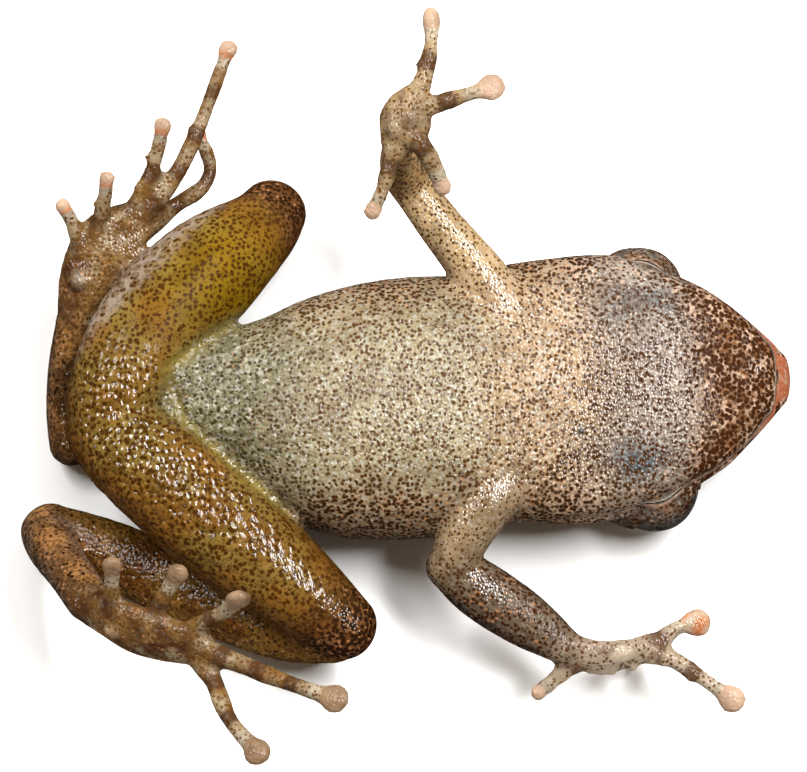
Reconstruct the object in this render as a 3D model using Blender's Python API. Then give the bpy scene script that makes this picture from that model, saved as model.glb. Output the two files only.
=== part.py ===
"""A small rain frog, life size, as a still display model lying on its back.

Axes: +X is toward the snout, +Y is toward the frog's right side, +Z is up and
out of the belly. Z = 0 is the floor that the back rests on. Sizes below are in
millimetres and are turned into metres when a mesh is made.
"""

import math

import bmesh
import bpy
from mathutils import Vector

MM = 0.001
GAP = 0.3
UP = (0.0, 0.0, 1.0)

# Where the head ends and the trunk begins.
NECK_X = 4.4

# Trunk along the body: x, middle y, height of the widest line, half width,
# height of the belly, height of the back before the floor flattens it.
TRUNK = (
    (-11.6, -0.05, 3.8, 1.1, 4.6, 2.9),
    (-10.6, 0.25, 3.8, 1.7, 5.0, 1.9),
    (-9.2, 0.45, 3.7, 2.1, 5.2, 1.0),
    (-7.6, 0.2, 3.5, 2.45, 5.5, 0.4),
    (-6.0, -0.1, 3.4, 3.1, 5.8, 0.0),
    (-4.5, -0.25, 3.3, 3.95, 6.05, -0.25),
    (-2.8, -0.2, 3.2, 4.45, 6.2, -0.3),
    (-0.8, -0.05, 3.2, 4.62, 6.2, -0.3),
    (1.0, 0.05, 3.2, 4.6, 6.0, -0.3),
    (2.8, 0.48, 3.2, 4.58, 5.6, -0.25),
    (4.4, 0.6, 3.15, 4.7, 5.1, -0.05),
)

# Skull with the upper jaw: x, middle y, height of the lip, half width at the
# lip, height of the palate side, height of the crown.
SKULL = (
    (4.4, 0.6, 3.1, 4.75, 4.2, -0.05),
    (5.6, 0.68, 3.05, 4.8, 4.1, 0.0),
    (6.8, 0.76, 3.0, 4.68, 4.0, 0.1),
    (7.8, 0.79, 2.95, 4.33, 3.9, 0.2),
    (8.7, 0.8, 2.95, 3.95, 3.8, 0.4),
    (9.6, 0.86, 2.9, 3.48, 3.7, 0.65),
    (10.5, 0.89, 2.85, 2.86, 3.55, 0.9),
    (11.3, 0.97, 2.8, 2.12, 3.4, 1.15),
    (12.0, 1.05, 2.7, 1.42, 3.2, 1.4),
    (12.4, 1.09, 2.6, 0.95, 3.0, 1.65),
)
SNOUT_TIP = (12.7, 1.12, 2.35)

# Lower jaw and throat: the same columns. It sits a little inside the lip.
JAW = (
    (4.4, 0.6, 3.65, 4.62, 5.1, 2.9),
    (5.6, 0.68, 3.6, 4.62, 4.85, 2.9),
    (6.8, 0.76, 3.55, 4.46, 4.7, 2.85),
    (7.8, 0.79, 3.5, 4.1, 4.55, 2.85),
    (8.7, 0.8, 3.5, 3.7, 4.45, 2.85),
    (9.6, 0.85, 3.45, 3.27, 4.3, 2.8),
    (10.5, 0.89, 3.35, 2.69, 4.1, 2.75),
    (11.3, 0.96, 3.25, 1.94, 3.85, 2.7),
    (11.8, 1.02, 3.15, 1.28, 3.62, 2.7),
)
CHIN_TIP = (12.16, 1.06, 3.05)

# The head is turned a little, so what is on its right sits farther back.
HEAD_TURN = 0.23
EYE_X = 7.45
EYE_Y = 0.87
EYE_OUT = 3.6
EYE_Z = 1.95
EYE_RADIUS = 1.38
LID_SIZE = (2.05, 1.6, 1.55)
LID_X = 7.35
LID_OUT = 3.45
LID_Z = 1.7
NOSTRIL = (11.95, 1.02, 2.0)
NOSTRIL_OUT = 1.02
NOSTRIL_RIM = 0.24
NOSTRIL_HOLE = 0.13
EAR = (5.5, 0.68, 1.75)
EAR_OUT = 4.32
EAR_RADIUS = 0.62
EAR_RIM = 0.14

# Angles of the rings that round off the end of a limb.
CAP_TURNS = (0.42, 0.85, 1.2)
DIGIT_TURNS = (0.5, 1.05)

# A limb form is a row of stations: x, y, z, half width, half depth. The half
# depth lies along the direction given as the form's face.
ARMS = {
    "upper_arm_right": (
        (2.6, 3.2, 4.3, 1.15, 1.0),
        (1.5, 4.7, 4.7, 0.95, 0.85),
        (0.3, 6.2, 4.9, 0.8, 0.78),
        (-0.75, 7.65, 5.0, 0.74, 0.74),
    ),
    "forearm_right": (
        (-0.75, 7.6, 5.0, 0.74, 0.74),
        (-1.0, 7.95, 6.3, 0.76, 0.76),
        (-1.1, 8.1, 7.6, 0.62, 0.6),
        (-1.1, 8.3, 8.8, 0.5, 0.45),
    ),
    "upper_arm_left": (
        (2.2, -3.2, 4.3, 1.05, 0.95),
        (1.3, -4.6, 4.1, 0.9, 0.85),
        (0.66, -5.75, 3.5, 0.86, 0.82),
    ),
    "forearm_left": (
        (0.7, -5.75, 3.45, 0.84, 0.8),
        (1.75, -6.5, 3.2, 1.03, 0.95),
        (3.28, -7.5, 3.0, 0.98, 0.86),
        (4.7, -8.45, 2.85, 0.66, 0.58),
    ),
}
HANDS = {
    "hand_right": (
        (-1.25, 8.0, 9.3, 0.6, 0.42),
        (-0.92, 8.6, 9.5, 0.93, 0.5),
        (-0.75, 9.2, 9.7, 0.8, 0.45),
        (-0.6, 9.5, 9.75, 0.55, 0.36),
    ),
    "hand_left": (
        (4.9, -8.6, 2.85, 0.56, 0.5),
        (5.8, -8.75, 2.75, 0.63, 0.43),
        (6.8, -8.66, 2.6, 0.61, 0.42),
        (7.5, -8.5, 2.5, 0.47, 0.37),
    ),
}
LEGS = {
    "thigh_right": (
        (-11.3, -1.1, 4.2, 1.45, 1.35),
        (-10.75, 0.5, 4.4, 1.85, 1.55),
        (-9.7, 2.6, 4.35, 2.0, 1.6),
        (-7.7, 4.8, 3.9, 1.95, 1.5),
        (-6.1, 6.35, 3.0, 1.45, 1.3),
        (-5.55, 7.16, 2.5, 1.22, 1.1),
    ),
    "thigh_left": (
        (-11.3, -0.75, 4.2, 1.6, 1.35),
        (-10.3, -1.75, 4.4, 1.85, 1.55),
        (-9.1, -2.75, 4.4, 1.98, 1.6),
        (-7.05, -4.55, 4.1, 1.95, 1.6),
        (-4.4, -6.7, 3.6, 1.55, 1.45),
        (-3.0, -7.8, 3.25, 1.22, 1.2),
    ),
    "shank_right": (
        (-5.75, 6.75, 1.3, 0.95, 1.1),
        (-7.2, 5.3, 1.15, 1.15, 1.15),
        (-9.4, 2.9, 1.05, 1.2, 1.15),
        (-11.4, 0.6, 0.95, 1.0, 1.05),
        (-12.45, -0.75, 0.9, 0.85, 0.95),
    ),
    "shank_left": (
        (-3.5, -8.08, 2.3, 1.0, 1.05),
        (-5.3, -7.6, 1.9, 1.15, 1.15),
        (-8.2, -6.3, 1.45, 1.25, 1.2),
        (-11.2, -4.9, 1.2, 1.15, 1.25),
        (-13.0, -4.1, 1.1, 0.9, 1.15),
    ),
    "tarsus_right": (
        (-12.7, -1.2, 1.0, 0.8, 0.95),
        (-12.75, 0.2, 1.4, 0.82, 0.8),
        (-12.7, 1.7, 2.0, 0.78, 0.72),
        (-12.4, 3.3, 2.8, 0.75, 0.62),
    ),
    "tarsus_left": (
        (-13.55, -3.95, 1.3, 0.82, 1.0),
        (-13.3, -4.8, 2.3, 0.88, 0.85),
        (-12.5, -6.0, 3.6, 0.85, 0.75),
        (-11.75, -7.2, 4.7, 0.88, 0.66),
    ),
}
FEET = {
    "foot_right": (
        (-12.35, 3.5, 2.95, 0.75, 0.55),
        (-12.0, 4.6, 3.5, 1.05, 0.48),
        (-11.4, 5.6, 3.9, 1.2, 0.42),
        (-10.7, 6.2, 4.0, 1.0, 0.36),
        (-9.8, 6.85, 3.95, 0.55, 0.3),
    ),
    "foot_left": (
        (-11.6, -7.38, 4.85, 0.86, 0.6),
        (-10.6, -8.05, 5.65, 1.02, 0.55),
        (-9.3, -8.58, 6.1, 0.97, 0.52),
        (-8.0, -8.95, 6.4, 0.78, 0.45),
    ),
}
PALM_FACE_LEFT = (0.1, -0.8, 0.6)
SOLE_FACE_LEFT = (0.25, -0.72, 0.65)

# A digit: its path from the palm to the middle of the disc, its half width at
# the base and before the disc, the disc's half width and half depth, and the
# direction that the flat of the disc faces.
DIGITS = {
    "finger_right_1": (
        ((-1.2, 8.1, 9.4), (-1.4, 7.3, 9.2), (-1.66, 6.45, 8.95), (-2.0, 5.75, 8.7)),
        0.34, 0.26, 0.33, 0.26, UP,
    ),
    "finger_right_2": (
        ((-0.75, 8.35, 9.6), (-0.3, 7.85, 9.6), (0.1, 7.25, 9.2), (0.42, 6.6, 8.75)),
        0.38, 0.33, 0.35, 0.28, UP,
    ),
    "finger_right_3": (
        ((-0.7, 9.1, 9.7), (0.1, 9.2, 10.0), (1.1, 9.5, 10.1), (2.12, 9.83, 10.05)),
        0.4, 0.26, 0.5, 0.28, UP,
    ),
    "finger_right_4": (
        ((-0.5, 9.5, 9.75), (-0.18, 10.35, 9.9), (0.0, 11.3, 9.9), (0.03, 12.33, 9.65)),
        0.36, 0.25, 0.46, 0.32, (1.0, 0.0, 0.25),
    ),
    "finger_left_1": (
        ((5.4, -8.85, 2.65), (4.75, -9.2, 2.55), (4.2, -9.65, 2.45), (3.75, -10.0, 2.4)),
        0.34, 0.27, 0.3, 0.26, UP,
    ),
    "finger_left_2": (
        ((6.3, -8.6, 2.45), (6.35, -8.5, 1.7), (6.6, -8.45, 1.05), (7.05, -8.4, 0.62)),
        0.34, 0.26, 0.36, 0.26, UP,
    ),
    "finger_left_3": (
        ((7.3, -8.45, 2.5), (8.4, -8.8, 2.45), (9.5, -9.5, 2.4), (10.55, -10.25, 2.4)),
        0.36, 0.26, 0.5, 0.3, (0.3, -0.4, 0.85),
    ),
    "finger_left_4": (
        ((7.25, -8.4, 2.5), (8.05, -8.1, 2.4), (8.7, -7.65, 2.3), (9.38, -7.5, 2.25)),
        0.36, 0.26, 0.52, 0.28, UP,
    ),
    "toe_right_1": (
        ((-12.1, 5.2, 3.8), (-12.4, 6.0, 4.1), (-12.62, 6.5, 4.35), (-12.88, 6.92, 4.55)),
        0.33, 0.27, 0.31, 0.26, UP,
    ),
    "toe_right_2": (
        ((-11.75, 5.7, 3.95), (-11.52, 6.6, 4.4), (-11.38, 7.2, 4.8), (-11.31, 7.78, 5.1)),
        0.33, 0.27, 0.31, 0.26, UP,
    ),
    "toe_right_3": (
        ((-11.1, 6.05, 4.05), (-10.15, 7.3, 4.4), (-9.64, 8.46, 4.8), (-9.37, 9.67, 5.15)),
        0.34, 0.26, 0.34, 0.26, UP,
    ),
    "toe_right_4": (
        ((-10.5, 6.25, 4.1), (-9.18, 7.65, 4.35), (-8.18, 9.5, 4.75), (-7.08, 12.44, 5.15)),
        0.35, 0.26, 0.36, 0.27, UP,
    ),
    "toe_right_5": (
        ((-10.2, 6.0, 3.7), (-9.05, 7.08, 3.55), (-8.03, 7.8, 3.55), (-7.75, 8.6, 3.6), (-8.2, 9.75, 3.7)),
        0.34, 0.26, 0.33, 0.26, UP,
    ),
    "toe_left_1": (
        ((-10.9, -7.8, 5.7), (-10.92, -7.2, 6.4), (-10.9, -6.7, 6.95), (-10.87, -6.3, 7.4)),
        0.34, 0.27, 0.36, 0.27, (0.0, -0.7, 0.7),
    ),
    "toe_left_2": (
        ((-9.6, -8.2, 6.1), (-9.3, -7.6, 6.7), (-8.95, -7.1, 7.3), (-8.6, -6.65, 7.9)),
        0.34, 0.27, 0.38, 0.27, (0.0, -0.7, 0.7),
    ),
    "toe_left_3": (
        ((-8.5, -8.6, 6.3), (-7.9, -8.3, 7.0), (-7.1, -8.05, 7.9), (-6.5, -7.7, 8.9)),
        0.34, 0.27, 0.44, 0.28, (0.3, -0.7, 0.7),
    ),
    "toe_left_4": (
        ((-8.0, -8.95, 6.4), (-6.7, -9.55, 6.9), (-4.9, -10.4, 7.9), (-3.2, -11.1, 8.75)),
        0.38, 0.27, 0.52, 0.3, UP,
    ),
    "toe_left_5": (
        ((-8.2, -9.1, 6.1), (-7.45, -10.1, 6.5), (-6.85, -11.55, 7.1), (-5.85, -12.8, 7.8)),
        0.36, 0.27, 0.5, 0.3, UP,
    ),
}

# Pads under the joints of the digits: digit, share of the way along, side.
PADS = (
    ("finger_right_3", 0.42, (0.0, 0.0, 1.0)),
    ("finger_right_4", 0.45, (-1.0, 0.0, 0.3)),
    ("finger_left_3", 0.45, (-0.3, -0.9, 0.3)),
    ("finger_left_4", 0.45, (0.2, -0.9, 0.4)),
    ("toe_right_2", 0.5, (-0.8, 0.0, 0.6)),
    ("toe_right_3", 0.35, (-0.8, 0.3, 0.6)),
    ("toe_right_3", 0.62, (-0.8, 0.3, 0.6)),
    ("toe_right_4", 0.36, (-0.8, 0.3, 0.6)),
    ("toe_right_4", 0.62, (-0.8, 0.3, 0.6)),
    ("toe_left_4", 0.45, (0.0, -0.8, 0.6)),
    ("toe_left_5", 0.45, (-0.8, 0.0, 0.6)),
)
PAD_RADIUS = 0.2

# Pads of the palms and heels of the hands: node, middle, half sizes.
PALM_PADS = (
    ("hand_right", (-1.25, 8.55, 9.85), (0.3, 0.42, 0.25)),
    ("hand_right", (-0.55, 8.75, 9.98), (0.36, 0.32, 0.25)),
    ("hand_left", (6.6, -8.78, 2.98), (0.44, 0.22, 0.25)),
    ("hand_left", (5.5, -9.05, 2.75), (0.36, 0.22, 0.26)),
    ("foot_left", (-10.9, -8.35, 5.9), (0.35, 0.25, 0.25)),
    ("foot_right", (-12.35, 4.4, 3.95), (0.28, 0.38, 0.22)),
)

# What each node keeps clear of: its neighbours that are made before it.
CLEAR_OF = {
    "upper_arm_right": ("torso",),
    "forearm_right": ("upper_arm_right",),
    "hand_right": ("forearm_right",),
    "upper_arm_left": ("torso",),
    "forearm_left": ("upper_arm_left", "torso"),
    "hand_left": ("forearm_left",),
    "thigh_right": ("torso",),
    "thigh_left": ("torso", "thigh_right"),
    "shank_right": ("thigh_right", "thigh_left", "torso"),
    "shank_left": ("thigh_left", "thigh_right"),
    "tarsus_right": ("shank_right", "thigh_right", "thigh_left"),
    "tarsus_left": ("shank_left",),
    "foot_right": ("tarsus_right", "thigh_right"),
    "foot_left": ("tarsus_left",),
    "toe_right_5": ("foot_right", "toe_right_4", "thigh_right"),
}

SKIN_COLOURS = {
    "torso": (0.52, 0.50, 0.36, 1.0),
    "head": (0.40, 0.29, 0.20, 1.0),
    "eye": (0.05, 0.045, 0.04, 1.0),
    "arm": (0.45, 0.36, 0.24, 1.0),
    "leg": (0.36, 0.25, 0.08, 1.0),
    "digit": (0.50, 0.37, 0.24, 1.0),
}


def clear_scene():
    for item in list(bpy.data.objects):
        bpy.data.objects.remove(item)


def material(name, colour, roughness):
    made = bpy.data.materials.new(name)
    made.use_nodes = True
    shader = made.node_tree.nodes["Principled BSDF"]
    shader.inputs["Base Color"].default_value = colour
    shader.inputs["Roughness"].default_value = roughness
    return made


def along(rows, steps):
    """Points on a smooth curve through the rows, with every column carried."""
    padded = [rows[0], *rows, rows[-1]]
    found = []
    for i in range(1, len(padded) - 2):
        before, start, end, after = padded[i - 1 : i + 3]
        for k in range(steps):
            t = k / steps
            found.append(
                tuple(
                    0.5
                    * (
                        2 * b
                        + (c - a) * t
                        + (2 * a - 5 * b + 4 * c - d) * t * t
                        + (3 * b - a - 3 * c + d) * t * t * t
                    )
                    for a, b, c, d in zip(before, start, end, after)
                )
            )
    found.append(tuple(rows[-1]))
    return found


def solid(name, rings, first, last):
    """A closed mesh through rings of points, with a point closing each end."""
    mesh = bpy.data.meshes.new(name)
    shape = bmesh.new()
    on_floor = [[Vector((p.x, p.y, max(p.z, 0.0))) * MM for p in ring] for ring in rings]
    levels = [[shape.verts.new(p) for p in ring] for ring in on_floor]
    for low, high in zip(levels, levels[1:]):
        for i in range(len(low)):
            j = (i + 1) % len(low)
            shape.faces.new((low[i], low[j], high[j], high[i]))
    for ring, tip in ((levels[0], first), (levels[-1], last)):
        top = shape.verts.new(Vector((tip[0], tip[1], max(tip[2], 0.0))) * MM)
        for i in range(len(ring)):
            shape.faces.new((ring[i], ring[(i + 1) % len(ring)], top))
    bmesh.ops.recalc_face_normals(shape, faces=shape.faces)
    bmesh.ops.triangulate(shape, faces=shape.faces)
    shape.to_mesh(mesh)
    shape.free()
    made = bpy.data.objects.new(name, mesh)
    bpy.context.scene.collection.objects.link(made)
    return made


def tube(name, stations, face, grow=0.0, sides=12, steps=3, tip=0.85, turns=CAP_TURNS):
    """A limb through its stations, rounded at both ends."""
    rows = along(stations, steps)
    points = [Vector(row[:3]) for row in rows]
    ways = []
    for i in range(len(points)):
        ways.append((points[min(i + 1, len(points) - 1)] - points[max(i - 1, 0)]).normalized())
    levels = []
    for end, sign in ((0, -1), (len(points) - 1, 1)):
        reach = 0.85 * min(rows[end][3], rows[end][4]) + grow
        if end:
            reach = tip * rows[end][3] + grow
        caps = []
        for angle in turns:
            middle = points[end] + sign * reach * math.sin(angle) * ways[end]
            caps.append((middle, ways[end], rows[end][3], rows[end][4], math.cos(angle)))
        levels.append((caps, points[end] + sign * reach * ways[end]))
    body = [(points[i], ways[i], rows[i][3], rows[i][4], 1.0) for i in range(len(points))]
    rings = []
    for middle, way, wide, deep, share in levels[0][0][::-1] + body + levels[1][0]:
        side = Vector(face).cross(way).normalized()
        normal = way.cross(side).normalized()
        ring = []
        for k in range(sides):
            turn = 2 * math.pi * k / sides
            across = side * (wide + grow) * math.cos(turn)
            ring.append(middle + (across + normal * (deep + grow) * math.sin(turn)) * share)
        rings.append(ring)
    return solid(name, rings, levels[0][1], levels[1][1])


def ball(name, middle, size, sides=16, levels=8):
    """An egg shape with its half sizes along the axes."""
    rings = []
    for i in range(1, levels):
        turn = math.pi * i / levels
        ring = []
        for k in range(sides):
            way = 2 * math.pi * k / sides
            x = size[0] * math.sin(turn) * math.cos(way)
            y = size[1] * math.sin(turn) * math.sin(way)
            ring.append(Vector((middle[0] + x, middle[1] + y, middle[2] - size[2] * math.cos(turn))))
        rings.append(ring)
    low = (middle[0], middle[1], middle[2] - size[2])
    high = (middle[0], middle[1], middle[2] + size[2])
    return solid(name, rings, low, high)


def section(row, fullness, taper, sides, grow):
    """One cross section of the trunk or head: wide at one line, and rounded."""
    x, y, wide_z, half, top, bottom = row
    ring = []
    for k in range(sides):
        turn = 2 * math.pi * k / sides
        across, rise = math.cos(turn), math.sin(turn)
        out = math.copysign(abs(across) ** fullness, across)
        lift = math.copysign(abs(rise) ** fullness, rise)
        reach = (top - wide_z if lift > 0 else wide_z - bottom) + grow
        narrow = 1.0 - (taper * abs(lift) ** 1.6 if lift < 0 else 0.0)
        ring.append(Vector((x, y + (half + grow) * out * narrow, wide_z + reach * lift)))
    return ring


def trunk(name, grow=0.0):
    rows = along(TRUNK, 2)
    rings = [section(row, 0.86, 0.1, 36, grow) for row in rows]
    last = rows[-1]
    end = NECK_X - GAP / 2 + grow
    for point in rings[-1]:
        point.x = end
    first = rows[0]
    return solid(name, rings, (first[0] - 0.5 - grow, first[1], 3.75), (end, last[1], 3.0))


def head_form(name, rows, tip, fullness, taper, sides):
    stations = along(rows, 2)
    rings = [section(row, fullness, taper, sides, 0.0) for row in stations]
    last = rings[-1]
    for share in (0.35, 0.65, 0.85, 0.96):
        middle = Vector(tip)
        squeeze = math.sqrt(1.0 - share * share)
        base = Vector((stations[-1][0], stations[-1][1], tip[2]))
        centre = base.lerp(middle, share)
        rings.append([centre + (p - base) * squeeze for p in last])
    start = NECK_X + GAP / 2
    for point in rings[0]:
        point.x = start
    return solid(name, rings, (start, stations[0][1], 3.3), tip)


def digit_stations(path, base, neck, disc, thick):
    """Stations of a digit: it narrows, then widens into a flat disc."""
    curve = along(path, 2)
    tip = Vector(curve[-1])
    way = (tip - Vector(curve[-2])).normalized()
    count = len(curve)
    rows = []
    for i, point in enumerate(curve[:-1]):
        share = i / (count - 2)
        half = base + (neck - base) * min(1.0, share * 1.3)
        knuckle = 0.03 * math.sin(3 * math.pi * share) ** 2
        rows.append((*point, half + knuckle, half + knuckle))
    near = (tip - way * disc * 0.55)
    if (near - Vector(rows[-1][:3])).length < 0.2:
        rows.pop()
    rows.append((*near, disc * 0.8, thick))
    rows.append((*tip, disc, thick))
    return rows


def digit(name, grow=0.0):
    path, base, neck, disc, thick, face = DIGITS[name]
    stations = digit_stations(path, base, neck, disc, thick)
    return tube(name, stations, face, grow, 9, 1, 0.92, DIGIT_TURNS)


def limb_face(name):
    if name == "hand_left":
        return PALM_FACE_LEFT
    if name == "foot_left":
        return SOLE_FACE_LEFT
    if name == "forearm_right":
        return (0.0, -1.0, 0.15)
    if name == "tarsus_left":
        return (0.5, -0.3, 0.8)
    return UP


def form(name, grow=0.0):
    """The plain form of a node, or a copy of it grown by this much."""
    if name == "torso":
        return trunk(name, grow)
    if name in DIGITS:
        return digit(name, grow)
    for table in (ARMS, LEGS, HANDS, FEET):
        if name in table:
            return tube(name, table[name], limb_face(name), grow, 14, 2)
    raise KeyError(name)


def combine(target, tool, operation):
    """Applies a Boolean at once and removes the tool."""
    change = target.modifiers.new(operation, "BOOLEAN")
    change.operation = operation
    change.solver = "EXACT"
    change.object = tool
    bpy.context.view_layer.update()
    graph = bpy.context.evaluated_depsgraph_get()
    mesh = bpy.data.meshes.new_from_object(target.evaluated_get(graph))
    target.modifiers.clear()
    target.data = mesh
    bpy.data.objects.remove(tool)


def keep_largest(target):
    """Drops the loose scraps that a cut leaves behind."""
    shape = bmesh.new()
    shape.from_mesh(target.data)
    bmesh.ops.remove_doubles(shape, verts=shape.verts, dist=0.0005 * MM)
    left = set(shape.verts)
    groups = []
    while left:
        front = [left.pop()]
        group = set(front)
        while front:
            vert = front.pop()
            for edge in vert.link_edges:
                other = edge.other_vert(vert)
                if other in left:
                    left.remove(other)
                    group.add(other)
                    front.append(other)
        groups.append(group)
    groups.sort(key=len, reverse=True)
    for group in groups[1:]:
        bmesh.ops.delete(shape, geom=list(group), context="VERTS")
    bmesh.ops.triangulate(shape, faces=shape.faces)
    bmesh.ops.recalc_face_normals(shape, faces=shape.faces)
    shape.to_mesh(target.data)
    shape.free()


def finish(target, paint):
    keep_largest(target)
    target.data.name = target.name
    target.data.materials.clear()
    target.data.materials.append(paint)
    target.data.shade_smooth()


def eye_middle(side):
    return (EYE_X - side * HEAD_TURN, EYE_Y + side * EYE_OUT, EYE_Z)


def build_head():
    head = head_form("head", SKULL, SNOUT_TIP, 0.86, 0.3, 32)
    combine(head, head_form("jaw", JAW, CHIN_TIP, 0.9, 0.0, 32), "UNION")
    for side in (1, -1):
        place = (LID_X - side * HEAD_TURN, EYE_Y + side * LID_OUT, LID_Z)
        lid = ball("lid", place, LID_SIZE, 18, 9)
        combine(head, lid, "UNION")
        socket = ball("socket", eye_middle(side), [EYE_RADIUS + GAP] * 3, 18, 9)
        combine(head, socket, "DIFFERENCE")
        nostril = (NOSTRIL[0], NOSTRIL[1] + side * NOSTRIL_OUT, NOSTRIL[2])
        combine(head, ball("rim", nostril, [NOSTRIL_RIM] * 3, 10, 6), "UNION")
        hole = (nostril[0] + 0.1, nostril[1] + side * 0.2, nostril[2] - 0.06)
        combine(head, ball("hole", hole, [NOSTRIL_HOLE] * 3, 8, 5), "DIFFERENCE")
        ear = (EAR[0] - side * HEAD_TURN, EAR[1] + side * EAR_OUT, EAR[2])
        combine(head, ball("ear", ear, (EAR_RADIUS, 0.3, EAR_RADIUS), 14, 8), "UNION")
        drum = (ear[0], ear[1] + side * 0.36, ear[2])
        inner = EAR_RADIUS - EAR_RIM
        combine(head, ball("drum", drum, (inner, 0.16, inner), 12, 6), "DIFFERENCE")
    return head


def pad_place(name, share):
    path = DIGITS[name][0]
    curve = along(path, 12)
    return curve[round(share * (len(curve) - 1))]


def build(name):
    made = form(name)
    for node, share, side in PADS:
        if node == name:
            place = Vector(pad_place(name, share)) + Vector(side).normalized() * 0.22
            combine(made, ball("pad", place, [PAD_RADIUS] * 3, 8, 5), "UNION")
    for node, middle, size in PALM_PADS:
        if node == name:
            combine(made, ball("pad", middle, size, 10, 6), "UNION")
    for other in clear_of(name):
        combine(made, form(other, GAP), "DIFFERENCE")
    return made


def clear_of(name):
    if name in CLEAR_OF:
        return CLEAR_OF[name]
    part, side, number = name.split("_")
    palm = ("hand_" if part == "finger" else "foot_") + side
    if number == "1":
        return (palm,)
    return (palm, f"{part}_{side}_{int(number) - 1}")


def main():
    clear_scene()
    paints = {key: material(key, SKIN_COLOURS[key], 0.4) for key in SKIN_COLOURS}
    torso = form("torso")
    finish(torso, paints["torso"])
    finish(build_head(), paints["head"])
    for side, name in ((1, "eye_right"), (-1, "eye_left")):
        finish(ball(name, eye_middle(side), [EYE_RADIUS] * 3, 20, 12), paints["eye"])
    for table, paint in ((ARMS, "arm"), (HANDS, "arm"), (LEGS, "leg"), (FEET, "leg"), (DIGITS, "digit")):
        for name in table:
            finish(build(name), paints[paint])


main()
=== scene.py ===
"""The looks of a small rain frog that lies on its back: one moist skin over all
of its flesh, two eyes, a pale floor, soft studio light and the camera.

The forms repeat the sizes of the solids, in millimetres, in the same frame:
+X toward the snout, +Y toward the frog's right side, +Z out of the belly.
"""

import math

import bmesh
import bpy
import numpy as np
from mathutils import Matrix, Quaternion, Vector, noise


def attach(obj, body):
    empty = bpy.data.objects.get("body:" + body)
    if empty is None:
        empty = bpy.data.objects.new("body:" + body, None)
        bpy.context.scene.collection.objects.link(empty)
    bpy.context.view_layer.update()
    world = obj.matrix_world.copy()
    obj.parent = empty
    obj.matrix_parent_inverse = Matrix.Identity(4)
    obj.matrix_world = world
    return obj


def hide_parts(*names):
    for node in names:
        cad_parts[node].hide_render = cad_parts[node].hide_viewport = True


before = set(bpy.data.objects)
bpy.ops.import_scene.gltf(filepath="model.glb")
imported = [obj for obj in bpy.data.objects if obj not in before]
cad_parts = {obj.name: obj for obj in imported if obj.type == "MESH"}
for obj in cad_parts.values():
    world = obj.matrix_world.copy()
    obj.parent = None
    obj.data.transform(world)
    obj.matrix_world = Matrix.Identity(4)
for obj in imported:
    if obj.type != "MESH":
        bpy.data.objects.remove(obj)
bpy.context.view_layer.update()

MM = 0.001
UP = (0.0, 0.0, 1.0)

# Grain of the skin mesh before it is smoothed: it keeps the skin under 200,000
# triangles.
VOXEL = 0.128

# Sides of the limbs and eggs, and of the body's cross sections, and rows of an egg.
LIMB_SIDES = 24
SECTION_SIDES = 72
EGG_ROWS = 14

# Ends of the limbs: angles of the rounding, and how far it reaches for each unit
# of the half width at the root and at the tip.
ROUNDING = (0.3, 0.6, 0.9, 1.2, 1.4)
ROOT_REACH = 0.85
TIP_REACH = 0.92

# Trunk: x, middle y, height of the widest line, half width, belly, back.
TRUNK = (
    (-11.6, -0.05, 3.8, 1.1, 4.6, 2.9),
    (-10.6, 0.25, 3.8, 1.7, 5.0, 1.9),
    (-9.2, 0.45, 3.7, 2.1, 5.2, 1.0),
    (-7.6, 0.2, 3.5, 2.45, 5.5, 0.4),
    (-6.0, -0.1, 3.4, 3.1, 5.8, 0.0),
    (-4.5, -0.25, 3.3, 3.95, 6.05, -0.25),
    (-2.8, -0.2, 3.2, 4.45, 6.2, -0.3),
    (-0.8, -0.05, 3.2, 4.62, 6.2, -0.3),
    (1.0, 0.05, 3.2, 4.6, 6.0, -0.3),
    (2.8, 0.48, 3.2, 4.58, 5.6, -0.25),
    (4.4, 0.6, 3.15, 4.7, 5.1, -0.05),
    (5.6, 0.68, 3.15, 4.6, 4.85, 0.0),
)
SKULL = (
    (3.6, 0.56, 3.1, 4.65, 4.2, 0.0),
    (4.4, 0.6, 3.1, 4.75, 4.2, -0.05),
    (5.6, 0.68, 3.05, 4.8, 4.1, 0.0),
    (6.8, 0.76, 3.0, 4.68, 4.0, 0.1),
    (7.8, 0.79, 2.95, 4.33, 3.9, 0.2),
    (8.7, 0.8, 2.95, 3.95, 3.8, 0.4),
    (9.6, 0.86, 2.9, 3.48, 3.7, 0.65),
    (10.5, 0.89, 2.85, 2.86, 3.55, 0.9),
    (11.3, 0.97, 2.8, 2.12, 3.4, 1.15),
    (12.0, 1.05, 2.7, 1.42, 3.2, 1.4),
    (12.4, 1.09, 2.6, 0.95, 3.0, 1.65),
)
SNOUT_TIP = (12.7, 1.12, 2.35)
JAW = (
    (3.6, 0.56, 3.65, 4.5, 5.3, 2.9),
    (4.4, 0.6, 3.65, 4.6, 5.1, 2.9),
    (5.6, 0.68, 3.6, 4.6, 4.85, 2.9),
    (6.8, 0.76, 3.55, 4.44, 4.7, 2.85),
    (7.8, 0.79, 3.5, 4.08, 4.55, 2.85),
    (8.7, 0.8, 3.5, 3.68, 4.45, 2.85),
    (9.6, 0.85, 3.45, 3.27, 4.3, 2.8),
    (10.5, 0.89, 3.35, 2.69, 4.1, 2.75),
    (11.3, 0.96, 3.25, 1.94, 3.85, 2.7),
    (11.8, 1.02, 3.15, 1.28, 3.62, 2.7),
)
CHIN_TIP = (12.16, 1.06, 3.05)

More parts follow.
